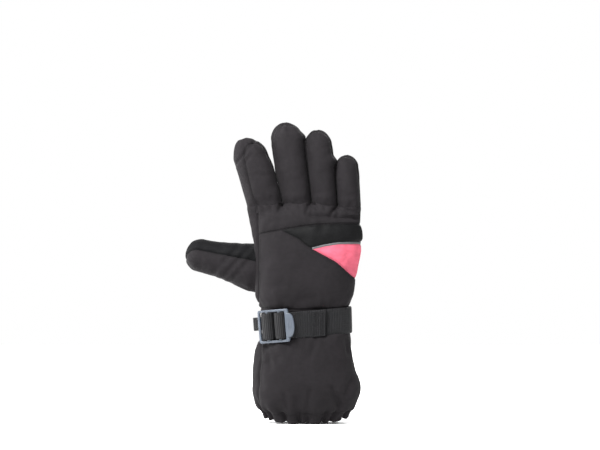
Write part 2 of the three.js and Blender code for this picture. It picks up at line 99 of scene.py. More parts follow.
# Height, thumb-side edge, little-finger-side edge and half depth of the hand and gauntlet.
SECTIONS = [
    (-1, -39.2, 38.8, 18.5),
    (8, -43.2, 43.6, 21.5),
    (20, -47.6, 47.4, 24.5),
    (34, -49.6, 50.2, 26.0),
    (53, -49.5, 45.5, 25.0),
    (68, -47.4, 43.0, 22.5),
    (80, -43.6, 42.0, 20.3),
    (94, -41.4, 41.0, 19.0),
    (107, -43.6, 40.5, 19.4),
    (122, -48.0, 44.4, 21.8),
    (136, -48.0, 47.2, 22.3),
    (158, -48.2, 51.0, 21.6),
    (180, -50.4, 52.6, 18.8),
    (195, -53.6, 51.6, 16.0),
    (206, -55.8, 51.4, 14.0),
]
# Where the back of the hand ends and the fingers start, from the thumb side to the little finger.
HAND_TOP = [(-60, 206), (-46, 206), (-34, 205.4), (-21, 208.6), (-8, 206.6), (6, 208.4), (17, 205.4),
            (29.5, 204.6), (40, 203.4), (56, 204.6)]
# Half widths and half depths along each digit, as shares of its length. grow lengthens it past the CAD panels,
# sway and curl bend it sideways and towards the palm, tip is the length of its round end in half widths, skew
# leans that end, and seam is where its back panel ends: an offset towards the palm and a slope across.
DIGITS = {
    "index": {"grow": 4.3, "width": [(0, 16.4), (0.3, 16.8), (0.62, 16.2), (0.82, 15.2), (1, 13.8)],
              "depth": [(0, 13.0), (0.4, 13.4), (1, 11.6)], "sway": -3.0, "curl": 1.5, "tip": 1.3, "skew": -3.0,
              "seam": (-8.4, 0.367)},
    "middle": {"grow": 0.9, "width": [(0, 13.5), (0.3, 15.1), (0.6, 15.8), (0.84, 14.1), (1, 12.9)],
               "depth": [(0, 13.4), (0.4, 13.8), (1, 12.0)], "sway": -0.8, "curl": 1.5, "tip": 1.08, "skew": -0.6,
               "seam": (-4.5, 0.0)},
    "ring": {"grow": 0.8, "width": [(0, 12.2), (0.4, 13.3), (0.7, 13.0), (1, 11.4)],
             "depth": [(0, 13.0), (0.4, 13.4), (1, 11.8)], "sway": -1.0, "curl": 1.5, "tip": 1.25, "skew": -0.8,
             "seam": (-4.5, 0.0)},
    "little": {"grow": 0.4, "width": [(0, 11.2), (0.5, 11.5), (1, 9.9)],
               "depth": [(0, 12.0), (0.4, 12.3), (1, 10.8)], "sway": -0.3, "curl": 1.2, "tip": 1.12, "skew": 0.0,
               "seam": (-4.2, 0.0)},
    "thumb": {"grow": 2.4, "width": [(0, 22.6), (0.3, 18.6), (0.6, 15.8), (0.85, 15.0), (1, 14.4)],
              "depth": [(0, 14.4), (0.5, 13.8), (1, 12.2)], "sway": -0.9, "curl": 0.5, "tip": 0.85,
              "skew": 0.0},
}
FINGERS = ("index", "middle", "ring", "little")


# ---- Numbers ----
class Curve:
    """A smooth curve through rows of (t, values...), flat where the values turn round."""

    def __init__(self, rows):
        rows = np.array(rows, float)
        self.t, self.y = rows[:, 0], rows[:, 1:]
        slopes = np.diff(self.y, axis=0) / np.diff(self.t)[:, None]
        inner = np.where(slopes[:-1] * slopes[1:] > 0, (slopes[:-1] + slopes[1:]) / 2, 0)
        self.m = np.vstack([slopes[:1], inner, slopes[-1:]])

    def __call__(self, t):
        t = np.clip(np.asarray(t, float), self.t[0], self.t[-1])
        i = np.clip(np.searchsorted(self.t, t, side="right") - 1, 0, len(self.t) - 2)
        span = (self.t[i + 1] - self.t[i])[..., None]
        x = (t - self.t[i])[..., None] / span
        low, high = self.y[i], self.y[i + 1]
        return (
            (1 + 2 * x) * (1 - x) ** 2 * low
            + x * (1 - x) ** 2 * span * self.m[i]
            + x * x * (3 - 2 * x) * high
            + x * x * (x - 1) * span * self.m[i + 1]
        )


def smooth(low, high, t):
    """0 below low, 1 above high."""
    x = np.clip((np.asarray(t, float) - low) / (high - low), 0, 1)
    return x * x * (3 - 2 * x)


def bump(t, centre, width):
    """1 at centre, falling off to both sides."""
    return np.exp(-(((np.asarray(t, float) - centre) / width) ** 2))


def noise_at(points, size, seed=0.0):
    """Smooth noise in -1..1 at each point, size millimetres to a feature."""
    offset = Vector((seed * 17.3, seed * 5.7, seed * 11.1))
    return np.array([noise.noise(Vector(p) / size + offset) for p in points])


def run_of(path):
    """The length along a path up to each of its points."""
    return np.concatenate([[0], np.cumsum(np.linalg.norm(np.diff(path, axis=0), axis=1))])


def along_run(at, run, values):
    """Rows of values, in step with run, at each length in at."""
    return np.column_stack([np.interp(at, run, column) for column in np.asarray(values, float).T])


def level(rows):
    """Rows of (x, y), with z = 0."""
    return np.column_stack([rows, np.zeros(len(rows))])


def even_ring(x, y, count):
    """count points evenly spaced round the closed outline x, y, which starts at its first point."""
    x, y = np.append(x, x[0]), np.append(y, y[0])
    run = np.concatenate([[0], np.cumsum(np.hypot(np.diff(x), np.diff(y)))])
    at = np.linspace(0, run[-1], count, endpoint=False)
    return np.interp(at, run, x), np.interp(at, run, y)


def oval(half_x, half_y, power, count):
    """Points evenly spaced round a superellipse, from +x over +y."""
    u = np.linspace(0, 2 * math.pi, 720, endpoint=False)
    c, s = np.cos(u), np.sin(u)
    x = half_x * np.sign(c) * np.abs(c) ** (2 / power)
    y = half_y * np.sign(s) * np.abs(s) ** (2 / power)
    return even_ring(x, y, count)


# ---- Mesh building ----
def tube_mesh(rings, close_end=False):
    """A bmesh through rings of points, with a UV layer in metres: round it, then along it."""
    rings = np.asarray(rings, float)
    rows, count = rings.shape[:2]
    bm = bmesh.new()
    uv = bm.loops.layers.uv.new("UVMap")
    verts = [[bm.verts.new(p) for p in ring] for ring in rings]
    middle = rings[rows // 2]
    around = np.concatenate([[0], np.cumsum(np.linalg.norm(np.roll(middle, -1, 0) - middle, axis=1))])
    steps = np.linalg.norm(np.diff(rings.mean(axis=1), axis=0), axis=1)
    along = np.concatenate([[0], np.cumsum(np.maximum(steps, 0.2))])
    for r in range(rows - 1):
        for k in range(count):
            n = (k + 1) % count
            face = bm.faces.new((verts[r][k], verts[r][n], verts[r + 1][n], verts[r + 1][k]))
            corners = ((k, r), (k + 1, r), (k + 1, r + 1), (k, r + 1))
            for loop, (a, b) in zip(face.loops, corners):
                loop[uv].uv = (around[a] * MM, along[b] * MM)
    if close_end:
        tip = bm.verts.new(rings[-1].mean(axis=0))
        for k in range(count):
            face = bm.faces.new((verts[-1][k], verts[-1][(k + 1) % count], tip))
            for loop, (a, b) in zip(face.loops, ((k, rows - 1), (k + 1, rows - 1), (k + 0.5, rows - 1))):
                loop[uv].uv = (around[int(a)] * MM, along[b] * MM)
    bm.normal_update()
    return bm


def cut(bm, point, normal, chosen=lambda face: True):
    """Cuts the chosen faces with a plane, keeping both sides."""
    faces = [f for f in bm.faces if chosen(f)]
    geometry = list({v for f in faces for v in f.verts}) + list({e for f in faces for e in f.edges}) + faces
    bmesh.ops.bisect_plane(bm, geom=geometry, dist=0.02, plane_co=point, plane_no=normal)


SEAM_STEPS = (-1.7, -0.6, 0.0, 0.6, 1.7)  # rows of points beside a seam, so that its groove is clean


def cut_line(bm, line, chosen, steps=SEAM_STEPS):
    """Cuts along a polyline of (x, z) points, straight through in y, and along parallel rows beside it."""
    for (x0, z0), (x1, z1) in zip(line, line[1:]):
        length = math.hypot(x1 - x0, z1 - z0)
        across = np.array([z1 - z0, 0, x0 - x1]) / length
        low = (min(x0, x1) - 2, min(z0, z1) - 2)
        high = (max(x0, x1) + 2, max(z0, z1) + 2)

        def near(face):
            c = face.calc_center_median()
            return low[0] < c.x < high[0] and low[1] < c.z < high[1] and chosen(c)

        for step in steps:
            cut(bm, np.array([x0, 0, z0]) + across * step, across, near)


def inside(outline, x, z):
    """Whether (x, z) is inside the outline of (x, z) points."""
    crossings = False
    for (x0, z0), (x1, z1) in zip(outline, outline[1:] + outline[:1]):
        if (z0 > z) != (z1 > z) and x < (x1 - x0) * (z - z0) / (z1 - z0) + x0:
            crossings = not crossings
    return crossings


def seam_distance(bm, labels):
    """Distance of each vertex from the nearest place where two panels meet."""
    if len(set(labels)) < 2:
        return np.full(len(bm.verts), 99.0)
    points = []
    for edge in bm.edges:
        if len({labels[f.index] for f in edge.link_faces}) > 1:
            a, b = edge.verts[0].co, edge.verts[1].co
            parts = max(1, int((b - a).length / 0.5))
            points += [a.lerp(b, i / parts) for i in range(parts + 1)]
    tree = kdtree.KDTree(len(points))
    for i, p in enumerate(points):
        tree.insert(p, i)
    tree.balance()
    return np.array([tree.find(v.co)[2] for v in bm.verts])


class Sheet:
    """A labelled surface: its points, outward normals, faces, UVs and how deep each point is in a seam."""

    def __init__(self, bm, label, split=lambda face: 0):
        bm.verts.index_update()
        bm.faces.index_update()
        panels = [label(f) for f in bm.faces]
        self.labels = [(name, split(f)) for name, f in zip(panels, bm.faces)]
        self.co = np.array([v.co for v in bm.verts])
        self.normal = np.array([v.normal for v in bm.verts])
        self.seam = seam_distance(bm, panels)
        layer = bm.loops.layers.uv["UVMap"]
        self.faces = [[v.index for v in f.verts] for f in bm.faces]
        self.uv = [[tuple(loop[layer].uv) for loop in f.loops] for f in bm.faces]
        bm.free()

    def renormal(self):
        """Normals of the surface as it now is."""
        normals = np.zeros_like(self.co)
        for face in self.faces:
            p = self.co[face]
            normal = np.cross(p[1] - p[0], p[2] - p[0])
            if len(face) > 3:
                normal = np.cross(p[2] - p[0], p[3] - p[1])
            normals[face] += normal
        lengths = np.linalg.norm(normals, axis=1, keepdims=True)
        self.normal = normals / np.maximum(lengths, 1e-9)


def new_object(name, mesh, material):
    """Puts a mesh into the scene as a piece."""
    obj = bpy.data.objects.new(name, mesh)
    bpy.context.scene.collection.objects.link(obj)
    mesh.materials.append(material)
    return obj


def placed_object(name, bm, material):
    """An object from a bmesh in this script's millimetres."""
    for vert in bm.verts:
        vert.co = Vector(place([vert.co])[0])
    for face in bm.faces:
        face.smooth = True
    mesh = bpy.data.meshes.new(name)
    bm.to_mesh(mesh)
    bm.free()
    return new_object(name, mesh, material)


def panel(name, sheet, faces, thickness, material, to_frame=place):
    """One piece of a sheet, with a thickness inwards."""
    used = sorted({v for f in faces for v in sheet.faces[f]})
    new = {v: i for i, v in enumerate(used)}
    count = len(used)
    outer = sheet.co[used]
    inner = outer - sheet.normal[used] * thickness
    rings, uvs = [], []
    sides = {}
    for f in faces:
        face = [new[v] for v in sheet.faces[f]]
        rings.append(face)
        uvs.append(sheet.uv[f])
        rings.append([v + count for v in reversed(face)])
        uvs.append(list(reversed(sheet.uv[f])))
        for i, (a, b) in enumerate(zip(face, face[1:] + face[:1])):
            sides[(a, b)] = (sheet.uv[f][i], sheet.uv[f][(i + 1) % len(face)])
    cloth = len(rings)
    for (a, b), (uv_a, uv_b) in sides.items():
        if (b, a) not in sides:
            rings.append([b, a, a + count, b + count])
            uvs.append([uv_b, uv_a, uv_a, uv_b])
    mesh = bpy.data.meshes.new(name)
    mesh.from_pydata(to_frame(np.vstack([outer, inner])).tolist(), [], rings)
    layer = mesh.uv_layers.new(name="UVMap")
    layer.data.foreach_set("uv", [value for ring in uvs for pair in ring for value in pair])
    # Nearness to a seam, kept as an attribute that the materials use for painted shade in the seam grooves.
    depth = mesh.attributes.new("seam", "FLOAT", "POINT")
    near = np.exp(-sheet.seam[used] / 1.5)
    depth.data.foreach_set("value", np.concatenate([near, near]).astype(np.float32))
    mesh.polygons.foreach_set("use_smooth", [i < cloth for i in range(len(rings))])
    mesh.update()
    # Neighbouring pieces share the sheet's own normals, so that no line shows where one is divided.
    origin = to_frame([[0, 0, 0]])
    turned = (to_frame(sheet.normal[used]) - origin) / MM
    both = np.vstack([turned, -turned])
    normals = [both[v] if i < cloth else (0, 0, 0) for i, ring in enumerate(rings) for v in ring]
    mesh.normals_split_custom_set(normals)
    return new_object(name, mesh, material)


# ---- Materials ----
class Nodes:
    """A small helper for building one Principled material."""

    def __init__(self, name, roughness=0.8, sheen=0.0, specular=0.5):
        self.material = bpy.data.materials.new(name)
        self.material.use_nodes = True
        self.tree = self.material.node_tree
        self.shader = self.tree.nodes["Principled BSDF"]
        self.shader.inputs["Roughness"].default_value = roughness
        self.shader.inputs["Sheen Weight"].default_value = sheen
        self.shader.inputs["Sheen Roughness"].default_value = 0.45
        self.shader.inputs["Specular IOR Level"].default_value = specular

    def add(self, kind, **values):
        node = self.tree.nodes.new(kind)
        for key, value in values.items():
            if hasattr(node, key):
                setattr(node, key, value)
            else:
                node.inputs[key].default_value = value
        return node

    def link(self, source, target):
        self.tree.links.new(source, target)

    def math(self, operation, a, b=None):
        node = self.add("ShaderNodeMath", operation=operation)
        for socket, value in zip(node.inputs, (a, b)):
            if value is None:
                continue
            if isinstance(value, (int, float)):
                socket.default_value = value
            else:
                self.link(value, socket)
        return node.outputs[0]

    def cloth(self):
        """Cloth coordinates, in metres."""
        return self.add("ShaderNodeUVMap", uv_map="UVMap").outputs[0]

    def uv(self):
        """The two cloth directions, in metres."""
        split = self.add("ShaderNodeSeparateXYZ")
        self.link(self.cloth(), split.inputs[0])
        return split.outputs[0], split.outputs[1]

    def noise(self, size, detail=2.0, vector=None):
        """Noise with features of size metres, in cloth coordinates unless a vector is given."""
        texture = self.add("ShaderNodeTexNoise")
        texture.inputs["Scale"].default_value = 1 / size
        texture.inputs["Detail"].default_value = detail
        self.link(self.cloth() if vector is None else vector, texture.inputs["Vector"])
        return texture.outputs["Fac"]

    def wave(self, value, pitch):
        """A sine of the given pitch in metres along value."""
        return self.math("SINE", self.math("MULTIPLY", value, 2 * math.pi / pitch))

    def ramp(self, fac, dark, light, low=0.3, high=0.7):
        """A colour from dark at low to light at high."""
        node = self.add("ShaderNodeValToRGB")
        node.color_ramp.elements[0].position = low
        node.color_ramp.elements[1].position = high
        node.color_ramp.elements[0].color = (*dark, 1)
        node.color_ramp.elements[1].color = (*light, 1)
        self.link(fac, node.inputs[0])
        return node.outputs[0]

    def painted_seam_shade(self, colour):
        """Darker in the seams: painted shade in the seam grooves."""
        attribute = self.add("ShaderNodeAttribute", attribute_name="seam")
        mix = self.add("ShaderNodeMix", data_type="RGBA", blend_type="MULTIPLY")
        self.link(self.math("MULTIPLY", attribute.outputs["Fac"], 0.55), mix.inputs["Factor"])
        self.link(colour, mix.inputs["A"])
        mix.inputs["B"].default_value = (0.35, 0.35, 0.35, 1)
        return mix.outputs["Result"]

    def bump(self, height, distance, strength=1.0, under=None):
        """A normal from a height, on top of the normal under it."""
        node = self.add("ShaderNodeBump")
        node.inputs["Strength"].default_value = strength
        node.inputs["Distance"].default_value = distance
        self.link(height, node.inputs["Height"])
        if under is not None:
            self.link(under, node.inputs["Normal"])
        return node.outputs["Normal"]

    def between(self, fac, low, high):
        """A value from low to high as fac goes from 0 to 1."""
        node = self.add("ShaderNodeMapRange")
        self.link(fac, node.inputs["Value"])
        node.inputs["To Min"].default_value = low
        node.inputs["To Max"].default_value = high
        return node.outputs[0]

    def finish(self, colour, roughness, normal):
        """Links what varies over the surface, and gives the material."""
        for socket, value in (("Base Color", colour), ("Roughness", roughness), ("Normal", normal)):
            if value is not None:
                self.link(value, self.shader.inputs[socket])
        return self.material


def scaled(colour, factor):
    """A lighter or darker colour."""
    return tuple(c * factor for c in colour)


def woven(name, colour, pitch=0.0009, sheen=0.12, roughness=0.78):
    """Plain-woven shell cloth: a fine over-and-under weave, slubs and soft mottling."""
    n = Nodes(name, sheen=sheen, specular=0.06)
    u, v = n.uv()
    weave = n.math("MULTIPLY", n.wave(u, pitch), n.wave(v, pitch))
    slub = n.noise(0.0035, 4)
    cloud = n.noise(0.022, 2)
    tone = n.math("ADD", n.math("MULTIPLY", slub, 0.45), n.math("MULTIPLY", cloud, 0.55))
    tone = n.math("ADD", tone, n.math("MULTIPLY", weave, 0.06))
    tint = n.ramp(tone, scaled(colour, 0.82), scaled(colour, 1.18), 0.35, 0.65)
    rough = n.between(cloud, roughness - 0.08, roughness + 0.1)
    soft = n.bump(slub, 0.00025, 0.5)
    # The colour goes darker near the seams: painted shade in the seam grooves.
    return n.finish(n.painted_seam_shade(tint), rough, n.bump(weave, 0.00006, 0.5, soft))


def grained(name, colour, roughness=0.72, size=0.0014):
    """Fine-grained polyurethane leather."""
    n = Nodes(name, specular=0.045)
    cells = n.add("ShaderNodeTexVoronoi", feature="DISTANCE_TO_EDGE")
    cells.inputs["Scale"].default_value = 1 / size
    n.link(n.cloth(), cells.inputs["Vector"])
    cloud = n.noise(0.018, 3)
    tint = n.ramp(cloud, scaled(colour, 0.8), scaled(colour, 1.25))
    rough = n.between(n.noise(0.006, 3), roughness - 0.1, roughness + 0.14)
    fine = n.bump(n.noise(0.0005, 2), 0.00005, 0.6)
    # The colour goes darker near the seams: painted shade in the seam grooves.
    return n.finish(n.painted_seam_shade(tint), rough, n.bump(cells.outputs["Distance"], 0.00022, 0.6, fine))


WARP_PITCH = 0.0021  # metres between the yarns that run along webbing


def ribbed(name, colour, pitch=0.0016, roughness=0.62):
    """Webbing: rows of thick yarn across it, split by the warp along it."""
    n = Nodes(name, sheen=0.01, specular=0.12)
    across, along = n.uv()
    rib = n.wave(along, pitch)
    warp = n.wave(across, WARP_PITCH)
    height = n.math("ADD", rib, n.math("MULTIPLY", n.math("MULTIPLY", warp, rib), 0.45))
    tone = n.math("ADD", n.math("MULTIPLY", height, 0.12), n.noise(0.004, 3))
    tint = n.ramp(tone, scaled(colour, 0.7), scaled(colour, 1.3), 0.3, 0.75)
    rough = n.between(n.noise(0.003, 2), roughness - 0.1, roughness + 0.15)
    return n.finish(tint, rough, n.bump(height, 0.00022, 0.9))


def moulded(name, colour, roughness=0.34, specular=0.4):
    """Satin moulded plastic with faint flow marks and a fine grain."""
    n = Nodes(name, specular=specular)
    where = n.add("ShaderNodeTexCoord").outputs["Object"]
    marks = n.noise(1 / 160, 4, where)
    tint = n.ramp(marks, scaled(colour, 0.9), scaled(colour, 1.08))
    rough = n.between(marks, roughness - 0.07, roughness + 0.12)
    return n.finish(tint, rough, n.bump(n.noise(1 / 2600, 2, where), 0.00003, 0.5))


def fleecy(name, colour):
    """Brushed pile or loose wadding."""
    n = Nodes(name, roughness=0.95, sheen=0.35)
    pile = n.noise(0.0012, 5)
    tint = n.ramp(n.noise(0.006, 4), scaled(colour, 0.75), scaled(colour, 1.2))
    return n.finish(tint, None, n.bump(pile, 0.0006, 0.9))


MATERIALS = {
    "shell": woven("woven_shell", (0.0064, 0.0056, 0.0063), sheen=0.012),
    "smooth": woven("smooth_softshell", (0.0019, 0.0019, 0.0021), pitch=0.0006, sheen=0.004, roughness=0.62),
    "accent": woven("coral_shell", (0.325, 0.060, 0.089), sheen=0.01, roughness=0.72),
    "piping": moulded("reflective_piping", (0.042, 0.042, 0.045), roughness=0.45, specular=0.3),
    "leather": grained("polyurethane_leather", (0.0025, 0.0025, 0.0028)),
    "patch": grained("grained_patch", (0.0021, 0.0021, 0.0023), roughness=0.66, size=0.0022),
    "webbing": ribbed("ribbed_webbing", (0.0044, 0.0044, 0.0050)),
    "buckle_plastic": moulded("steel_grey_acetal", (0.036, 0.044, 0.057)),
    "padding": fleecy("polyester_wadding", (0.7, 0.7, 0.67)),
    "fleece": fleecy("brushed_fleece", (0.045, 0.045, 0.05)),
    "elastic": ribbed("knitted_elastic", (0.02, 0.02, 0.022), pitch=0.0011, roughness=0.75),
    "label": woven("satin_label", (0.8, 0.8, 0.77), pitch=0.0004, sheen=0.2, roughness=0.4),
    "thread": moulded("sewing_thread", (0.006, 0.0056, 0.006), roughness=0.75, specular=0.1),
}


def settle(obj, body=None, replaces=(), blend=None):
    """Hangs a piece from its body, or only bakes its transform if it lies between two; hides the CAD parts it
    replaces.
    """
    if blend:
        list(blend)
        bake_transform(obj)
    else:
        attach(obj, body)
    if replaces:
        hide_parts(*replaces)
    return obj


# ---- Camera, light and floor ----
def set_stage():
    """The camera at the photo's angle and framing, the pale floor and the soft lights."""
    scene = bpy.context.scene
    camera = bpy.data.objects.new("camera", bpy.data.cameras.new("camera"))
    scene.collection.objects.link(camera)
    scene.camera = camera
    distance = 2.5
    width_seen = 0.566  # metres across the picture at the glove
    sensor = 36
    camera.data.sensor_width = sensor
    camera.data.lens = sensor * distance / width_seen
    aim = place([-5.7, 0, 186.8])
    camera.location = (aim[0], aim[1] - distance, aim[2])
    camera.rotation_euler = (math.pi / 2, 0, 0)

    floor_mesh = bpy.data.meshes.new("floor")
    half = 1.6
    corners = [(-half, -half, 0), (half, -half, 0), (half, half, 0), (-half, half, 0)]
    floor_mesh.from_pydata(corners, [], [(0, 1, 2, 3)])
    floor = bpy.data.objects.new("floor", floor_mesh)
    scene.collection.objects.link(floor)
    pale = Nodes("pale_floor", roughness=0.9)
    pale.shader.inputs["Base Color"].default_value = (0.93, 0.93, 0.93, 1)
    floor_mesh.materials.append(pale.material)

    scene.world = bpy.data.worlds.new("studio")
    scene.world.use_nodes = True
    background = scene.world.node_tree.nodes["Background"]
    background.inputs["Color"].default_value = (1, 1, 1, 1)
    background.inputs["Strength"].default_value = 1.0
    scene.view_settings.view_transform = "Standard"

    def area(name, location, size, power, target=(0, 0, 0.15)):
        """A soft square light."""
        data = bpy.data.lights.new(name, "AREA")
        data.energy = power
        data.size = size
        light = bpy.data.objects.new(name, data)
        light.location = location
        light.rotation_euler = (Vector(target) - Vector(location)).to_track_quat("-Z", "Y").to_euler()
        scene.collection.objects.link(light)

    area("key", (-0.55, -0.6, 1.05), 0.45, 34, (0, 0, 0.24))
    area("upper", (-0.15, -0.36, 0.64), 0.3, 8.2, (0, 0, 0.27))
    area("fill", (0.9, -1.0, 0.6), 0.9, 5)
    area("side", (-1.3, 0.25, 0.3), 0.6, 37)
    area("back", (0.4, 1.2, 0.9), 0.8, 18)


# ---- Cloth ----
TENFOLD = 0.01  # millimetres to the simulation's metres: it runs at ten times the real size


class Swelling:
    """A coarse sewn tube blown up by its padding in a cloth simulation, and how far each point moved.

    held gives each point's hold from 0 to 1, growth is the share by which the cloth is cut too large, and no
    point moves further than cap.
    """

    def __init__(self, rings, held, growth, pressure, cap, close_end=False, frames=18, stiffness=1.2):
        rings = np.asarray(rings, float)
        bm = tube_mesh(rings * TENFOLD, close_end)
        mesh = bpy.data.meshes.new("cloth")
        bm.to_mesh(mesh)
        bm.free()
        obj = bpy.data.objects.new("cloth", mesh)
        scene = bpy.context.scene
        scene.collection.objects.link(obj)
        start = np.array([v.co for v in mesh.vertices])
        self.co = start / TENFOLD
        group = obj.vertex_groups.new(name="held")
        for index, weight in enumerate(held(self.co)):
            if weight > 0.01:
                group.add([index], float(weight), "REPLACE")
        cloth = obj.modifiers.new("cloth", "CLOTH")
        settings = cloth.settings
        settings.quality = 6
        settings.mass = 0.3
        settings.tension_stiffness = 18
        settings.compression_stiffness = 12
        settings.shear_stiffness = 6
        settings.bending_stiffness = stiffness
        settings.vertex_group_mass = "held"
        settings.shrink_min = -growth
        settings.use_pressure = True
        settings.uniform_pressure_force = pressure
        settings.effector_weights.gravity = 0
        cloth.collision_settings.use_collision = False
        cloth.point_cache.frame_start = 1
        cloth.point_cache.frame_end = frames
        for number in range(1, frames + 1):
            scene.frame_set(number)
        result = obj.evaluated_get(bpy.context.evaluated_depsgraph_get()).to_mesh()
        end = np.array([v.co for v in result.vertices])
        bpy.data.objects.remove(obj)
        scene.frame_set(1)
        move = (end - start) / TENFOLD
        length = np.linalg.norm(move, axis=1, keepdims=True)
        move *= np.minimum(1, cap / np.maximum(length, 1e-6))
        # Waves as short as the coarse mesh itself are evened out.
        rows, count = rings.shape[:2]
        grid = move[:rows * count].reshape(rows, count, 3)
        for _ in range(2):
            grid = (np.roll(grid, 1, 1) + 2 * grid + np.roll(grid, -1, 1)) / 4
            grid[1:-1] = (grid[:-2] + 2 * grid[1:-1] + grid[2:]) / 4
        move[:rows * count] = grid.reshape(-1, 3)
        self.move = move
        self.tree = kdtree.KDTree(len(self.co))
        for i, p in enumerate(self.co):
            self.tree.insert(p, i)
        self.tree.balance()

    def at(self, points):
        """The movement at each point, from the nearest points of the coarse cloth."""
        moves = np.zeros((len(points), 3))
        for i, p in enumerate(points):
            near = self.tree.find_n(p, 5)
            weights = np.array([1 / (distance + 0.35) ** 2 for _, _, distance in near])
            moves[i] = weights @ self.move[[index for _, index, _ in near]] / weights.sum()
        return moves


SWOLLEN = {}


def swell(name, sheet, rings, held, **settings):
    """Moves a sheet as its simulated coarse tube moved; every layer of the same name shares one run."""
    if name not in SWOLLEN:
        SWOLLEN[name] = Swelling(rings(), held, **settings)
    sheet.co = sheet.co + SWOLLEN[name].at(sheet.co)
    sheet.renormal()


# ---- The hand and gauntlet ----
HAND = Curve(SECTIONS)
TOP_LINE = Curve(HAND_TOP)
COLUMNS = 184  # points round the hand


def digit_axes(name):
    """A digit's hinge places and its own axes: h across it, n towards the palm, d along it."""
    root = JOINTS["thumb_root" if name == "thumb" else f"{name}_knuckle"]
    bend = JOINTS[f"{name}_bend"]
    base, middle = unplace(root["pos_m"]), unplace(bend["pos_m"])
    d = (middle - base) / np.linalg.norm(middle - base)
    h = -np.array(root["axis"], float)
    h /= np.linalg.norm(h)
    n = np.cross(d, h)
    ends = []
    for node in frame["nodes"]:
        if node.startswith(f"{name}_") and node.endswith("_panel"):
            ends += [unplace(v.co) for v in bpy.data.objects[node].data.vertices]
    length = max((np.array(ends) - base) @ d)
    return {"base": base, "d": d, "h": h, "n": n, "bend": np.linalg.norm(middle - base), "length": length}


AXES = {name: digit_axes(name) for name in DIGITS}


def root_profile(x):
    """Half depth of the row of finger roots at each x: their sections side by side, nothing between them."""
    depth = np.full(len(x), 0.4)
    for name in FINGERS:
        axes, shape = AXES[name], DIGITS[name]
        centre = axes["base"][0] + axes["d"][0] * 2
        width = shape["width"][0][1] + 0.4
        ratio = np.clip(np.abs(x - centre) / width, 0, 1)
        depth = np.maximum(depth, shape["depth"][0][1] * (1 - ratio**2.3) ** (1 / 2.3))
    return depth


def hand_rings(step=1.5, low=0.0):
    """Sections of the hand from the hem up, closing round the finger roots at the top."""
    heights = np.arange(low, HAND_HEIGHT + 0.01, step)
    rings = []
    for z in heights:
        left, right, depth = HAND(z)
        x, y = oval((right - left) / 2, depth, SQUARENESS, COLUMNS)
        x += (left + right) / 2
        lift = (TOP_LINE(x)[:, 0] - HAND_HEIGHT) * smooth(165, HAND_HEIGHT, z)
        share = smooth(192, 206.5, z) ** 1.2
        wide = np.maximum(np.abs(y), 1e-6)
        side = smooth(0.0, 5.0, wide)
        target = np.minimum(root_profile(x), wide + 1.5)
        y = np.sign(y) * (wide + (target - wide) * share * side)
        rings.append(np.column_stack([x, y, z + lift]))
    return np.array(rings)


# Seams on the back of the hand, from the thumb side to the little-finger side.
KNUCKLE_SEAM = [(SIDE_SEAM, 177.6), (-40, 178.4), (-22, 181.8), (-5, 184.8), (12, 186.5), (44, 187.6),
                (BEYOND, 187.6)]
INSERT_EDGE = [(-22, 181.4), (-19.4, 179.6), (-6.8, 173.5), (-0.1, 167.6), (5.6, 164.6)]
PIPING_TOP = [(5.6, 165.6), (16.8, 168.4), (29.3, 170.3), (47.9, 170.7), (BEYOND, 170.3)]
PIPING_FOOT = [(5.6, 163.8), (16.8, 166.4), (29.3, 168.3), (47.9, 168.7), (BEYOND, 168.3)]
ACCENT_FOOT = [(5.6, 164.2), (27.7, 152.3), (45.4, 138.1), (BEYOND, 119)]
# The thumb-side seam, from the hem up.
SIDE_LINE = [(-41.6, HEM_HEIGHT), (-43.4, 22), (-44.3, 34), (-43, 56), (-41.8, 76), (-42.5, 94), (-45.6, 112),
             (SIDE_SEAM, 128), (SIDE_SEAM, 177), (-46.2, 205), (-47.4, 214)]


def is_back(c):
    """Whether a point is on the back of the hand's side seams."""
    return c.y < PALM_SEAM - 0.01


def thumb_side(c):
    """Whether a point on the back is beyond the thumb-side seam."""
    edge = np.interp(c.z, [z for _, z in SIDE_LINE], [x for x, _ in SIDE_LINE])
    return c.x < edge


# The slots of the hand's panels that aren't shell cloth.
PANEL_SLOTS = {"black_insert": "smooth", "reflective_piping": "piping", "accent_panel": "accent",
               "palm_panel": "leather"}


def hand_label(face):
    """The panel that a face of the hand's shell belongs to."""
    c = face.calc_center_median()
    if c.z < HEM_HEIGHT:
        return "hem_casing"
    if c.y > PALM_SEAM:
        return "palm_panel" if c.z > WRIST_SEAM else "gauntlet_palm_panel"
    if thumb_side(c):
        return "thumb_side_panel" if c.z > WRIST_SEAM else "gauntlet_side_panel"
    if c.z < WRIST_SEAM:
        return "gauntlet_back_panel"
    if inside(KNUCKLE_SEAM + [(BEYOND, 260), (SIDE_SEAM - 8, 260)], c.x, c.z):
        return "knuckle_panel"
    if inside(INSERT_EDGE + PIPING_TOP + KNUCKLE_SEAM[:1:-1], c.x, c.z):
        return "black_insert"
    if inside(PIPING_TOP + PIPING_FOOT[::-1], c.x, c.z):
        return "reflective_piping"
    if inside(PIPING_FOOT + ACCENT_FOOT[::-1], c.x, c.z):
        return "accent_panel"
    return "back_hand_panel"


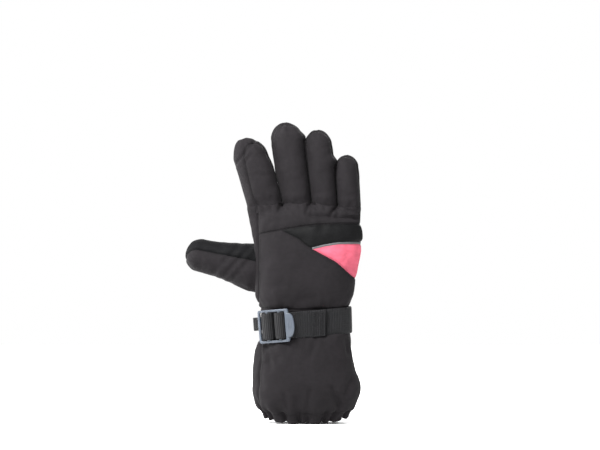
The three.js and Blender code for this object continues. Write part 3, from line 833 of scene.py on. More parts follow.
# Folds pressed into the back: (from, to, depth, half width).
FOLDS = [
    ((2, 196.4), (50, 193.4), 3.2, 2.0),
    ((34, 199), (52, 198), 1.2, 2.2),
    ((24, 36), (29, 25), 2.8, 2.6),
    ((29, 25), (35, 14), 3.2, 2.8),
    ((42, 44), (37, 27), 2.2, 3.0),
    ((-20, 31), (-17, 14), 1.5, 2.5),
    ((4, 33), (2, 14), 1.4, 2.5),
    ((-37, 76), (-33, 52), 1.4, 3.0),
    ((10, 78), (4, 62), 1.0, 4.0),
    ((36, 82), (39, 66), 1.6, 3.0),
    ((-34, 74), (-24, 60), 1.0, 4.0),
    ((-12, 112), (8, 120), 0.9, 4.0),
    ((40, 161), (34, 150), 0.9, 2.6),
    ((22, 112), (36, 121), 0.8, 3.5),
    ((-36, 190), (-16, 196), 0.7, 4.0),
    ((-30, 148), (-6, 140), 0.6, 6.0),
    ((-38, 126), (-18, 133), 0.7, 5.0),
]
# Short creases that run from the gaps between the fingers into the hand, on both sides.
ROOT_FOLDS = [
    ((31, 207), (23, 197), 2.4, 1.5),
    ((31, 207), (42, 198), 2.2, 1.6),
    ((4.5, 210), (0, 198), 1.7, 1.5),
    ((4.5, 210), (11, 200), 1.4, 1.5),
    ((-21.5, 211), (-26, 199), 1.8, 1.5),
    ((-21.5, 211), (-14, 201), 1.3, 1.6),
    ((-44, 208), (-38, 198), 1.2, 1.5),
    ((-34, 208), (-32, 200), 0.9, 1.3),
    ((-8, 210), (-6, 202), 0.8, 1.3),
    ((17, 208), (17.5, 201), 0.8, 1.3),
]


def fold_depth(x, z, folds):
    """How far the cloth is pressed in at each (x, z) by a list of folds."""
    total = np.zeros(len(x))
    for (x0, z0), (x1, z1), depth, width in folds:
        length = math.hypot(x1 - x0, z1 - z0)
        ux, uz = (x1 - x0) / length, (z1 - z0) / length
        along = (x - x0) * ux + (z - z0) * uz
        side = np.abs((x - x0) * uz - (z - z0) * ux)
        ends = smooth(-4, 4, along) * (1 - smooth(length - 4, length + 4, along))
        total += depth * ends * np.exp(-((side / width) ** 2))
    return total


def gathers(angle, z):
    """The hem's elastic gathers the cloth into deep folds that fade upwards."""
    rng = np.random.default_rng(7)
    out = np.zeros(len(z))
    count = 21
    for i in range(count):
        centre = 2 * math.pi * (i + rng.uniform(-0.28, 0.28)) / count
        top = rng.uniform(20, 44)
        depth = rng.uniform(2.2, 4.4)
        lean = rng.uniform(-0.0035, 0.0035)
        width = rng.uniform(0.055, 0.085)
        offset = (angle - centre - lean * z + math.pi) % (2 * math.pi) - math.pi
        fade = 1 - smooth(4, top, z)
        out += depth * fade * np.exp(-((offset / (width * (1 + z / 40))) ** 2))
    return out


def hand_held(co):
    """Where the hand's cloth is held: its top, the strap, the hem and, less, the seams."""
    x, y, z = co.T
    strap_z = STRAP["centre"] + x * STRAP["slope"]
    held = smooth(198, 203, z)
    held = np.maximum(held, 1 - smooth(9, 13, np.abs(z - strap_z)))
    held = np.maximum(held, 1 - smooth(5, 11, z))
    # The outline keeps its cut width: the side seams' allowances stiffen it.
    edges = HAND(z)
    inset = np.minimum(x - edges[:, 0], edges[:, 1] - x)
    held = np.maximum(held, 0.7 * (1 - smooth(0, 12, inset)))
    edge = np.interp(z, [row[1] for row in SIDE_LINE], [row[0] for row in SIDE_LINE])
    seams = np.maximum(bump(x, edge, 3) * (y < PALM_SEAM), bump(y, PALM_SEAM, 3))
    return np.maximum(held, 0.35 * seams)


def shape_hand(sheet, depth_in=0.0):
    """Pads the panels out between their seams, presses the folds in and gathers the cuff.

    An inner layer takes the same shape, depth_in under the shell, without its seams.
    """
    swell("hand", sheet, lambda: hand_rings(3.4)[:, ::2], hand_held, growth=0.06, pressure=2.6, cap=2.3)
    co, normal = sheet.co, sheet.normal
    x, y, z = co.T
    back = 1 - smooth(-6, 2, y)
    groove = 0.9 * np.exp(-((sheet.seam / 1.1) ** 2)) + 0.5 * np.exp(-((sheet.seam / 3.4) ** 2))
    groove *= 1 - 0.7 * bump(z, HEM_HEIGHT, 6)
    puff = 0.0 if np.any(depth_in) else 1.3 * (1 - np.exp(-((sheet.seam / 11) ** 2)))
    out = puff - groove
    out += 1.1 * noise_at(co, 27, 1) + 0.4 * noise_at(co, 11, 2)
    across = co * np.array([2.4, 2.4, 1.0])
    cinch = bump(z, 74, 13) + bump(z, 115, 11)
    out += 1.1 * cinch * noise_at(across, 15, 3)
    out += 0.5 * bump(z, 190, 14) * noise_at(across, 16, 4)
    out -= back * fold_depth(x, z, FOLDS)
    out += 0.55 * bump(z, 204, 8) * noise_at(across, 7, 5)
    middle = (HAND(z)[:, 0] + HAND(z)[:, 1]) / 2
    angle = np.arctan2(y * 2, x - middle) % (2 * math.pi)
    depth = gathers(angle, z)
    out += 1.4 * bump(z, 26, 16) - depth
    # Seams pull the padding into soft puckers of no even length.
    near_seam = np.exp(-((sheet.seam / 7) ** 2)) * smooth(1.0, 2.6, sheet.seam)
    out += 0.9 * near_seam * noise_at(co, 8, 9) * (1 - smooth(190, 200, z))
    # Under the strap the cuff is drawn in.
    strap_z = STRAP["centre"] + x * STRAP["slope"]
    under = 1 - smooth(10.5, 13.5, np.abs(z - strap_z))
    out = out * (1 - 0.85 * under) - 1.0 * under
    # On the palm side an elastic shirrs the wrist where the strap doesn't cover it.
    shirr = (1 - smooth(7, 15, np.abs(z - STRAP["centre"]))) * smooth(3, 9, y) * (1 - smooth(19, 25, x))
    out += shirr * 0.8 * np.sin(2 * math.pi * x / 5.2 + 1.6 * noise_at(co, 12, 8))
    top = smooth(199, 207, z)
    out = out * (1 - 0.7 * top) - 0.9 * smooth(203, 208.5, z)
    out -= fold_depth(x, z, ROOT_FOLDS)
    # The turned-in cloth at the top moves with the lip in front of it.
    radial = level(np.column_stack([(x - middle) / LIP[0] ** 2, y / LIP[1] ** 2]))
    radial /= np.maximum(np.linalg.norm(radial, axis=1, keepdims=True), 1e-9)
    turned_in = (z > 195) & ((normal * radial).sum(axis=1) < 0.4)
    direction = np.where(turned_in[:, None], radial, normal)
    co = co + direction * (out - depth_in)[:, None]
    # The hem is uneven: its cloth rides up where it is gathered most.
    arc = 5.5 * (np.abs(x + 1.5) / 42) ** 2.4
    rise = arc + 0.22 * depth + 0.7 * (1 + noise_at(co * [1, 1, 0], 13, 6)) - 0.4
    co[:, 2] = np.maximum(co[:, 2] + rise * (1 - smooth(2, 16, z)), 1.3 if np.any(depth_in) else 0.3)
    sheet.co = co
    sheet.renormal()


HAND_SURFACE = {}


def surface(sheet):
    """A sheet's outer face, for laying trim on it."""
    return BVHTree.FromPolygons(sheet.co.tolist(), sheet.faces)


def lay(tree, x, z, side):
    """The point over (x, z) on the back (side -1) or the palm (side 1), and the normal there."""
    point, normal, _, _ = tree.ray_cast(Vector((x, 80 * side, z)), Vector((0, -side, 0)))
    return np.array(point), np.array(-normal if normal.y * side < 0 else normal)


def sew(name, tree, line, side, radius):
    """A row of stitches along a line of (x, z) points, laid on a surface."""
    line = np.array(line, float)
    run = run_of(line)
    laid = [lay(tree, x, z, side) for x, z in along_run(np.arange(0, run[-1], 0.8), run, line)]
    row = stitches(name, [point for point, _ in laid], [normal for _, normal in laid], 3.0, 2.2, radius)
    settle(row, "hand")


def pieces_of(sheet):
    """The faces of each label of a sheet."""
    groups = defaultdict(list)
    for f, label in enumerate(sheet.labels):
        groups[label].append(f)
    return groups.items()


def make_hand():
    """The shell of the hand and gauntlet, cut into its panels, and the patch on its palm."""
    rings = hand_rings()
    top = rings[-1]
    # Its upper edge is rolled in round the finger roots: how far in and how far down each row goes.
    rolled = []
    for shrink, drop in ((0.8, -0.4), (1.9, 0.6), (2.8, 3.0), (3.2, 7.0)):
        ring = top.copy()
        ring[:, 1] = np.sign(top[:, 1]) * np.maximum(np.abs(top[:, 1]) - shrink, 0.1)
        ring[:, 0] = top[:, 0] + (np.mean(top[:, 0]) - top[:, 0]) / LIP[0] * shrink * 0.8
        ring[:, 2] -= drop
        rolled.append(ring)
    bm = tube_mesh(np.concatenate([rings, np.array(rolled)]))
    for step in SEAM_STEPS:
        cut(bm, (0, PALM_SEAM + step, 0), (0, 1, 0), lambda f: abs(f.calc_center_median().y - PALM_SEAM) < 5)
        cut(bm, (0, 0, HEM_HEIGHT + step), (0, 0, 1), lambda f: abs(f.calc_center_median().z - HEM_HEIGHT) < 5)
        cut(bm, (0, 0, WRIST_SEAM + step), (0, 0, 1), lambda f: abs(f.calc_center_median().z - WRIST_SEAM) < 5)
    for line in (KNUCKLE_SEAM, INSERT_EDGE, ACCENT_FOOT):
        cut_line(bm, line, lambda c: is_back(c) and c.z > WRIST_SEAM)
    for line in (PIPING_TOP, PIPING_FOOT):
        cut_line(bm, line, lambda c: is_back(c) and c.z > WRIST_SEAM, (-0.6, 0.0, 0.6))
    cut_line(bm, SIDE_LINE, lambda c: is_back(c) and c.x < 0)
    cut_line(bm, PATCH + PATCH[:1], lambda c: c.y > PALM_SEAM + 2, (0.0,))
    bmesh.ops.remove_doubles(bm, verts=bm.verts, dist=0.05)
    bm.normal_update()
    sheet = Sheet(bm, hand_label)
    flat = sheet.co.copy()
    shape_hand(sheet)
    HAND_SURFACE["shell"] = surface(sheet)
    for (label, _), faces in pieces_of(sheet):
        slot = PANEL_SLOTS.get(label, "shell")
        obj = panel(f"{label}_cloth", sheet, faces, SHELL, MATERIALS[slot])
        settle(obj, "hand", [label])
    make_patch(sheet, flat)


def quarter(start, corner, end, steps=5):
    """The points after start of a curve to end that bends round a corner."""
    t = np.linspace(0, 1, steps + 1)[1:, None]
    curve = (1 - t) ** 2 * np.array(start) + 2 * t * (1 - t) * np.array(corner) + t * t * np.array(end)
    return [tuple(p) for p in curve]


# Outline of the palm's reinforcement, from its lower thumb-side corner, and its middle.
PATCH_MIDDLE = (2.0, 151.0)
PATCH = [(-22, 122), (26, 122)] + quarter((26, 122), (38, 124), (38, 138)) + [(38, 168)]
PATCH += quarter((38, 168), (38, 180), (26, 181)) + [(-20, 181)] + quarter((-20, 181), (-32, 180), (-30, 170))
PATCH += quarter((-30, 170), (-14, 152), (-22, 122), 9)[:-1]


def outline_distance(outline, x, z):
    """Distance of each (x, z) from a closed outline."""
    best = np.full(len(x), 1e9)
    for (x0, z0), (x1, z1) in zip(outline, outline[1:] + outline[:1]):
        dx, dz = x1 - x0, z1 - z0
        t = np.clip(((x - x0) * dx + (z - z0) * dz) / (dx * dx + dz * dz), 0, 1)
        best = np.minimum(best, np.hypot(x - x0 - t * dx, z - z0 - t * dz))
    return best


def make_patch(shell, flat):
    """The palm's reinforcement lies on the palm panel and is sewn down all round."""
    sheet = copy.copy(shell)
    edge = outline_distance(PATCH, flat[:, 0], flat[:, 2])
    sewn = 2.6  # distance of its stitches from the edge
    lift = 1.25 - 0.35 * bump(edge, 0, 1.2) - 0.3 * bump(edge, sewn, 1.0)
    sheet.co = shell.co + shell.normal * lift[:, None]
    sheet.seam = np.minimum(edge, np.abs(edge - sewn) * 1.6)
    sheet.renormal()
    middle = [flat[face].mean(axis=0) for face in shell.faces]
    faces = [f for f, c in enumerate(middle) if c[1] > PALM_SEAM + 2 and inside(PATCH, c[0], c[2])]
    obj = panel("palm_patch_grain", sheet, faces, 0.9, MATERIALS["patch"])
    settle(obj, "hand", ["palm_patch"])
    outline = np.array(PATCH + PATCH[:1])
    inwards = np.array(PATCH_MIDDLE) - outline
    inwards /= np.linalg.norm(inwards, axis=1, keepdims=True)
    sew("patch_stitching", surface(sheet), outline + inwards * 2.8, 1, 0.24)


def hand_layer(name, slot, depth, thickness, low, high, label, nodes, step=3.0):
    """An inner layer of the hand and gauntlet, shaped as the shell is, cut into its pieces by label."""
    rings = hand_rings(step, low)
    rings = rings[rings[:, :, 2].mean(axis=1) <= high]
    bm = tube_mesh(rings)
    cut(bm, (0, 0, 0), (0, 1, 0))
    sheet = Sheet(bm, label)
    sheet.seam = np.full(len(sheet.co), 99.0)
    z = sheet.co[:, 2]
    shape_hand(sheet, depth(z) if callable(depth) else depth)
    HAND_SURFACE[name] = surface(sheet)
    for (key, _), faces in pieces_of(sheet):
        obj = panel(f"{key}_{name}", sheet, faces, thickness, MATERIALS[slot])
        settle(obj, "hand", nodes[key])


def make_hand_layers():
    """Insulation, lining and the layers of the hem."""

    def half(part):
        return lambda f: f"{part}_back" if f.calc_center_median().y < 0 else f"{part}_palm"

    hand_layer("wadding", "padding", 2.6, 1.3, 104, 199, half("hand"),
               {"hand_back": ["hand_back_insulation"], "hand_palm": ["hand_palm_insulation"]})
    hand_layer("wadding", "padding", 2.6, 1.3, 11, 84, half("gauntlet"),
               {"gauntlet_back": ["gauntlet_back_insulation"], "gauntlet_palm": ["gauntlet_palm_insulation"]})
    hand_layer("fleece", "fleece", lambda z: 4.3 + 1.5 * bump(z, 94, 12), 0.7, 9.6, 199, lambda f: "hand",
               {"hand": ["lining"]})
    # The hem: its cloth turns in under the elastic and up inside it.
    hand_layer("band", "elastic", 2.0, 0.9, 2.6, 8.4, lambda f: "hem", {"hem": ["hem_elastic"]}, step=1.4)
    hand_layer("facing", "shell", lambda z: 0.7 + 2.7 * smooth(0.0, 1.4, z), 0.8, 0.0, 9.2, lambda f: "hem",
               {"hem": ["hem_casing"]}, step=0.7)


# ---- Fingers and thumb ----
FINGER_START, THUMB_START = -7.0, -20.0  # where a digit's tube starts inside the hand, from its first hinge
ROUNDNESS = 2.2  # superellipse power of a digit's sections
THUMB_SEAM = -7.5  # where the thumb's two panels meet: h + n in its own axes
# Heights at which neighbouring fingers part.
TOUCH = {("index", "middle"): 243, ("middle", "ring"): 268, ("ring", "little"): 247}


def side_reach(name, other, s, own):
    """Half width towards the next finger: pressed against it up to the height where they part."""
    a, b = AXES[name], AXES[other]
    top = TOUCH.get((name, other)) or TOUCH[(other, name)]
    reach = []
    for value, width in zip(s, own):
        p = a["base"] + a["d"] * value
        along = (p - b["base"]) @ b["d"]
        lean_a = DIGITS[name]["sway"] * (max(value, 0) / a["length"]) ** 2
        lean_b = DIGITS[other]["sway"] * (max(along, 0) / b["length"]) ** 2
        gap = abs((p - b["base"] - b["d"] * along) @ a["h"] + lean_a - lean_b)
        wide_a = Curve(DIGITS[name]["width"])(value / a["length"])[0]
        wide_b = Curve(DIGITS[other]["width"])(along / b["length"])[0]
        past = float(smooth(b["length"] - 12, b["length"] + 2, along))
        limit = gap * wide_a / (wide_a + wide_b) + 0.05 + 8 * past
        pressed = 1 - float(smooth(top - 6, top + 5, p[2]))
        reach.append(min(width, limit) * (1 - pressed) + limit * pressed)
    return np.array(reach)


def digit_rings(name, step=1.3, count=72):
    """Sections of a digit in its own axes (across, towards the palm, along), up to its round tip."""
    axes, shape = AXES[name], DIGITS[name]
    length = axes["length"] + shape["grow"]
    width, depth = Curve(shape["width"]), Curve(shape["depth"])
    end = float(width(1.0)[0]) * shape["tip"]
    dome = length - end
    angles = np.radians(np.linspace(0, 87, 17))
    straight = np.arange(THUMB_START if name == "thumb" else FINGER_START, dome - 0.4, step)
    s = np.concatenate([straight, dome + end * np.sin(angles)])
    share = np.concatenate([np.ones(len(straight)), np.cos(angles)])
    w = width(np.clip(s / length, 0, 1))[:, 0]
    t = depth(np.clip(s / length, 0, 1))[:, 0]
    plus, minus = w, w
    index = FINGERS.index(name) if name in FINGERS else None
    if index is not None and index < 3:
        plus = side_reach(name, FINGERS[index + 1], s, w)
    if index:
        minus = side_reach(name, FINGERS[index - 1], s, w)
    rings = []
    for i, along in enumerate(s):
        x, y = oval(1, 1, ROUNDNESS, count)
        x = np.where(x > 0, plus[i] * x, minus[i] * x) * share[i]
        y = y * t[i] * share[i]
        if index is None:
            # The buried end of the thumb is flatter, so that it stays inside the hand.
            sunk = float(smooth(4, THUMB_START, along))
            y = y * (1 - 0.62 * sunk) - 5.5 * sunk
            x = x * (1 - 0.13 * float(smooth(-9, THUMB_START, along)))
        else:
            # A finger is gathered where it is sewn in, and the row's two outer sides tuck further in.
            gather = 1.7 * (1 - smooth(-1, 8, along))
            y *= 1 - gather / max(t[i], 6)
            free = {0: x < 0, 3: x > 0}.get(index, np.zeros(count, bool))
            tuck = np.where(free, 0.13 * float(smooth(3, -6, along)), 0.05 * float(smooth(-1, -7, along)))
            x = x * (1 - tuck)
        bend = (max(along, 0) / length) ** 2
        x = x + shape["sway"] * bend + shape["skew"] * (1 - share[i]) ** 1.5
        rings.append(np.column_stack([x, y + shape["curl"] * bend, np.full(count, along)]))
    return np.array(rings)


def to_digit(name):
    """Takes points in a digit's own axes to the frame."""
    axes = AXES[name]
    turn = np.array([axes["h"], axes["n"], axes["d"]])
    return lambda co: place(np.asarray(co) @ turn + axes["base"])


def digit_held(name):
    """Where a digit's cloth is held: its root, where it lies against the next finger and, less, its outline."""
    axes = AXES[name]

    def held(co):
        h, _, s = co.T
        width = Curve(DIGITS[name]["width"])(np.clip(s / axes["length"], 0, 1))[:, 0]
        side = smooth(0.6, 0.92, np.abs(h) / width)
        reach = axes["length"] + (10 if name == "thumb" else -14)
        side *= 1 - smooth(reach - 16, reach, s)
        return np.maximum(1 - smooth(1, 9, s), (0.8 if name == "thumb" else 0.95) * side)

    return held


def shape_digit(sheet, name, depth_in=0.0):
    """Padding between the seams, creases where the digit bends and puckers where it is sewn in."""
    swell(name, sheet, lambda: digit_rings(name, step=2.4, count=36), digit_held(name), growth=0.07,
          pressure=5.0, cap=0.9, close_end=True, frames=14, stiffness=0.6)
    co = sheet.co
    h, n, s = co.T
    axes = AXES[name]
    seed = 10 + 3 * list(DIGITS).index(name)
    groove = 0.75 * np.exp(-((sheet.seam / 0.9) ** 2)) + 0.35 * np.exp(-((sheet.seam / 2.6) ** 2))
    puff = 0.0 if depth_in else 0.6 * (1 - np.exp(-((sheet.seam / 6) ** 2)))
    out = puff - groove + 0.45 * noise_at(co, 15, seed) + 0.22 * noise_at(co, 6.5, seed + 1)
    around = co * np.array([1.0, 1.0, 0.28])
    out += 1.5 * bump(s, 3, 6.5) * noise_at(around, 5.5, seed + 2)
    # The cloth is gathered round the tip.
    angle = np.arctan2(n, h)
    fan = np.column_stack([9 * np.cos(angle), 9 * np.sin(angle), 0.2 * s])
    out += 1.25 * bump(s, axes["length"] - 3, 8) * noise_at(fan, 4.4, seed + 5)
    across = co * np.array([0.45, 0.45, 1.6])
    bends = bump(s, axes["bend"], 9) + 0.7 * bump(s, axes["length"] - 14, 6)
    out += 0.5 * bends * noise_at(across, 7, seed + 3)
    if name == "thumb":
        slant = s + 0.55 * h
        back = 1 - smooth(-4, 4, n)
        for centre, depth, wide in ((17, 1.5, 2.6), (27, 1.0, 2.4), (8, 1.2, 3.0)):
            out -= back * depth * bump(slant, centre, wide)
    if name == "index":
        slant = s - 0.75 * h
        out -= 1.3 * (1 - smooth(-2, 3, n)) * bump(slant, 56, 1.7)
        out -= 0.8 * (1 - smooth(-2, 3, n)) * bump(slant, 48, 1.8) * bump(h, -4, 6)
    if name in FINGERS:
        # Where it presses against the next finger it stays flat.
        sides = np.abs(sheet.normal[:, 0]) ** 3 * (1 - smooth(axes["length"] - 30, axes["length"] - 12, s))
        out = out * (1 - 0.9 * sides)
    keep = 1 - smooth(2, -5, s)
    sheet.co = co + sheet.normal * (out * keep - depth_in)[:, None]
    sheet.renormal()


def digit_label(name):
    """The panel that a face of a digit's shell belongs to."""

    def label(face):
        c = face.calc_center_median()
        if name == "thumb":
            return "thumb_back_panel" if c.x + c.y < THUMB_SEAM else "thumb_palm_panel"
        offset, slope = DIGITS[name]["seam"]
        if c.y < offset + slope * c.x:
            return f"{name}_back_panel"
        return f"{name}_palm_panel" if c.y > PALM_SEAM else f"{name}_side_strip"

    return label


def make_digit(name):
    """A digit's shell, wadding and fleece, each in two pieces cut halfway to its bend: one over its root hinge, one
    over its bend.
    """
    axes = AXES[name]
    body, tip = f"{name}_base", f"{name}_tip"
    half = axes["bend"] / 2
    to_frame = to_digit(name)

    def at(s):
        return tuple(to_frame([[0, 0, s]])[0])

    lower = ("hand", body, at(-4 if name == "thumb" else -2), at(half - 0.5))
    upper = (body, tip, at(axes["bend"] - half + 1), at(axes["bend"] + half - 1))
    bm = tube_mesh(digit_rings(name), close_end=True)
    for step in SEAM_STEPS:
        if name == "thumb":
            normal = np.array([1, 1, 0]) / math.sqrt(2)
            cut(bm, np.array([THUMB_SEAM / 2, THUMB_SEAM / 2, 0]) + normal * step, normal)
        else:
            offset, slope = DIGITS[name]["seam"]
            normal = np.array([-slope, 1, 0]) / math.hypot(slope, 1)
            cut(bm, np.array([0, offset, 0]) + normal * step, normal)
            cut(bm, (0, PALM_SEAM + step, 0), (0, 1, 0))
    cut(bm, (0, 0, half), (0, 0, 1))
    bmesh.ops.remove_doubles(bm, verts=bm.verts, dist=0.05)
    bm.normal_update()
    sheet = Sheet(bm, digit_label(name), lambda f: int(f.calc_center_median().z > half))
    shape_digit(sheet, name)
    for (label, part), faces in pieces_of(sheet):
        slot = "leather" if label.endswith("palm_panel") else "shell"
        obj = panel(f"{label}_{('lower', 'upper')[part]}", sheet, faces, SHELL, MATERIALS[slot], to_frame)
        settle(obj, replaces=[label], blend=(lower, upper)[part])
    for kind, slot, depth, thick, nodes in (
        ("wadding", "padding", 2.3, 1.3, (f"{name}_insulation_base", f"{name}_insulation_tip")),
        ("fleece", "fleece", 4.0, 0.6, ("lining", "lining")),
    ):
        bm = tube_mesh(digit_rings(name, step=2.6, count=36), close_end=True)
        cut(bm, (0, 0, half), (0, 0, 1))
        bm.normal_update()
        sheet = Sheet(bm, lambda f: kind, lambda f: int(f.calc_center_median().z > half))
        shape_digit(sheet, name, depth)
        for (_, part), faces in pieces_of(sheet):
            obj = panel(f"{name}_{kind}_{('lower', 'upper')[part]}", sheet, faces, thick, MATERIALS[slot], to_frame)
            settle(obj, replaces=[nodes[part]], blend=(lower, upper)[part])


# ---- Webbing ----
def strip(name, path, outward, up, width, thick, material, rib=0.09, pitch=1.6):
    """Flat webbing along a path: a rounded section, ribbed across, with its own width direction."""
    path, outward, up = (np.asarray(a, float) for a in (path, outward, up))
    run = run_of(path)
    count = max(4, int(run[-1] / (pitch / 2)))
    at = np.linspace(0, run[-1], count)
    line, normal, side = (along_run(at, run, a) for a in (path, outward, up))
    normal /= np.linalg.norm(normal, axis=1, keepdims=True)
    side /= np.linalg.norm(side, axis=1, keepdims=True)
    across, through = oval(width / 2, thick / 2, 5, 44)
    rings = []
    for i in range(count):
        swell = 1 + (rib / thick) * (1 if i % 2 else -1)
        rings.append(line[i] + across[:, None] * side[i] + (through * swell)[:, None] * normal[i])
    first, last = (ring.mean(axis=0) + (ring - ring.mean(axis=0)) * 0.97 for ring in (rings[0], rings[-1]))
    bm = tube_mesh([first, *rings, last])
    verts, n = list(bm.verts), len(across)
    bm.faces.new(verts[:n][::-1])
    bm.faces.new(verts[-n:])
    bmesh.ops.recalc_face_normals(bm, faces=bm.faces)
    obj = placed_object(name, bm, material)
    mesh = obj.data
    # The cloth directions are across the webbing and along it.
    uv = mesh.uv_layers["UVMap"].data
    for poly in mesh.polygons:
        for loop in poly.loop_indices:
            row, k = divmod(mesh.loops[loop].vertex_index, n)
            uv[loop].uv = (across[k] * MM, row * pitch / 2 * MM)
    return obj


def stitches(name, path, outward, pitch=3.2, length=2.3, radius=0.26, material="thread", lift=0.1):
    """A row of short threads lying on a path."""
    path, outward = np.asarray(path, float), np.asarray(outward, float)
    run = run_of(path)
    shares = (0, 0.25, 0.5, 0.75, 1)
    bm = bmesh.new()
    for start in np.arange(0.4, run[-1] - length, pitch):
        ends = along_run([start + t * length for t in shares], run, path)
        normal = along_run([start + length / 2], run, outward)[0]
        normal /= np.linalg.norm(normal)
        direction = ends[-1] - ends[0]
        direction /= max(np.linalg.norm(direction), 1e-6)
        side = np.cross(direction, normal)
        rings = []
        for t, p in zip(shares, ends):
            height = lift + radius * math.sin(math.pi * t) * 0.9 - 0.15
            r = radius * (0.55 + 0.45 * math.sin(math.pi * t))
            ring = [bm.verts.new(p + normal * (height + r * math.sin(a)) + side * r * math.cos(a))
                    for a in np.linspace(0, 2 * math.pi, 6, endpoint=False)]
            rings.append(ring)
        for a, b in zip(rings, rings[1:]):
            for k in range(6):
                bm.faces.new((a[k], a[(k + 1) % 6], b[(k + 1) % 6], b[k]))
        bm.faces.new(list(reversed(rings[0])))
        bm.faces.new(rings[-1])
    bmesh.ops.recalc_face_normals(bm, faces=bm.faces)
    return placed_object(name, bm, MATERIALS[material])


def wrist_ring(offset):
    """The outline that the strap follows, from the thumb side over the back: points and outward normals."""
    left, right, depth = HAND(STRAP["centre"])
    x, y = oval((right - left) / 2 + offset, depth + offset, SQUARENESS, 360)
    x, y = np.roll(x + (left + right) / 2, 180), np.roll(y, 180)
    tangent = np.column_stack([np.roll(x, -1) - np.roll(x, 1), np.roll(y, -1) - np.roll(y, 1)])
    tangent /= np.linalg.norm(tangent, axis=1, keepdims=True)
    return x, y, np.column_stack([tangent[:, 1], -tangent[:, 0]])


def on_wrist(x, y):
    """Three coordinates of strap points: the strap climbs towards the little-finger side."""
    return np.column_stack([x, y, STRAP["centre"] + np.asarray(x) * STRAP["slope"]])


def nearest(x, y, at, side):
    """The point of a wrist ring nearest to x = at, on the back (side -1) or the palm (side 1)."""
    return np.argmin(np.abs(x - at) + 100 * (y * side < 0))


def sew_across(name, ring, index, lift, reach, body, *how):
    """A row of stitches across the strap at one point of a wrist ring, lift above it and reach to both sides."""
    x, y, normal = ring
    outward = np.append(normal[index], 0)
    middle = on_wrist(x[index:index + 1], y[index:index + 1])[0] + outward * lift
    line = [middle + np.array([0, 0, h]) for h in np.linspace(-reach, reach, 20)]
    settle(stitches(name, line, np.tile(outward, (20, 1)), *how), body)


# The buckle's own axes: x along the strap to its tab, y up and z outwards, around its anchor bar.
TILT = JOINTS["buckle_tilt"]
PIN = unplace(TILT["pos_m"])
BUCKLE_Y = -np.array(TILT["axis"], float)
BUCKLE_Z = np.cross(BUCKLE_Y, [0, 0, 1.0])
BUCKLE_Z = BUCKLE_Z / np.linalg.norm(BUCKLE_Z)
BUCKLE_Z = -BUCKLE_Z if BUCKLE_Z[1] > 0 else BUCKLE_Z
BUCKLE_X = np.cross(BUCKLE_Y, BUCKLE_Z)
LOCK_BAR = 12.1  # x of the bar that the strap locks on
END_BAR = -9.4  # x of the frame's heel
BAR_RADIUS = 1.3
LENGTH, HEIGHT, THICK = 29.5, 31.0, 3.2  # of the frame, without its tab
TAB = 6.5  # reach of the tab
SEWN_AT = 26.0  # x at which the strap ends on the palm
TAIL_END = 18.0  # x at which the tail folds back
TAIL_FOLD = 12.5  # length of the part folded back


def buckle_point(points):
    """Points in the buckle's axes, taken to this script's."""
    return np.asarray(points, float) @ np.array([BUCKLE_X, BUCKLE_Y, BUCKLE_Z]) + PIN


def in_buckle(line):
    """A path of (x, z) points in the buckle's axes: points, outward normals and width directions."""
    line = np.asarray(line, float)
    tangent = np.gradient(line, axis=0)
    tangent /= np.linalg.norm(tangent, axis=1, keepdims=True)
    points = buckle_point(np.column_stack([line[:, 0], np.zeros(len(line)), line[:, 1]]))
    normal = np.outer(-tangent[:, 1], BUCKLE_X) + np.outer(tangent[:, 0], BUCKLE_Z)
    return points, normal, np.tile(BUCKLE_Y, (len(line), 1))


def arch(bar, height, spread, foot):
    """A path over a bar: up one side, round it and down the other."""
    a = np.linspace(math.pi, 0, 25)
    x = bar + spread * np.sign(np.cos(a)) * np.abs(np.cos(a)) ** 0.8
    z = foot + (height - foot) * np.sin(a) ** 0.62
    return np.column_stack([x, z])


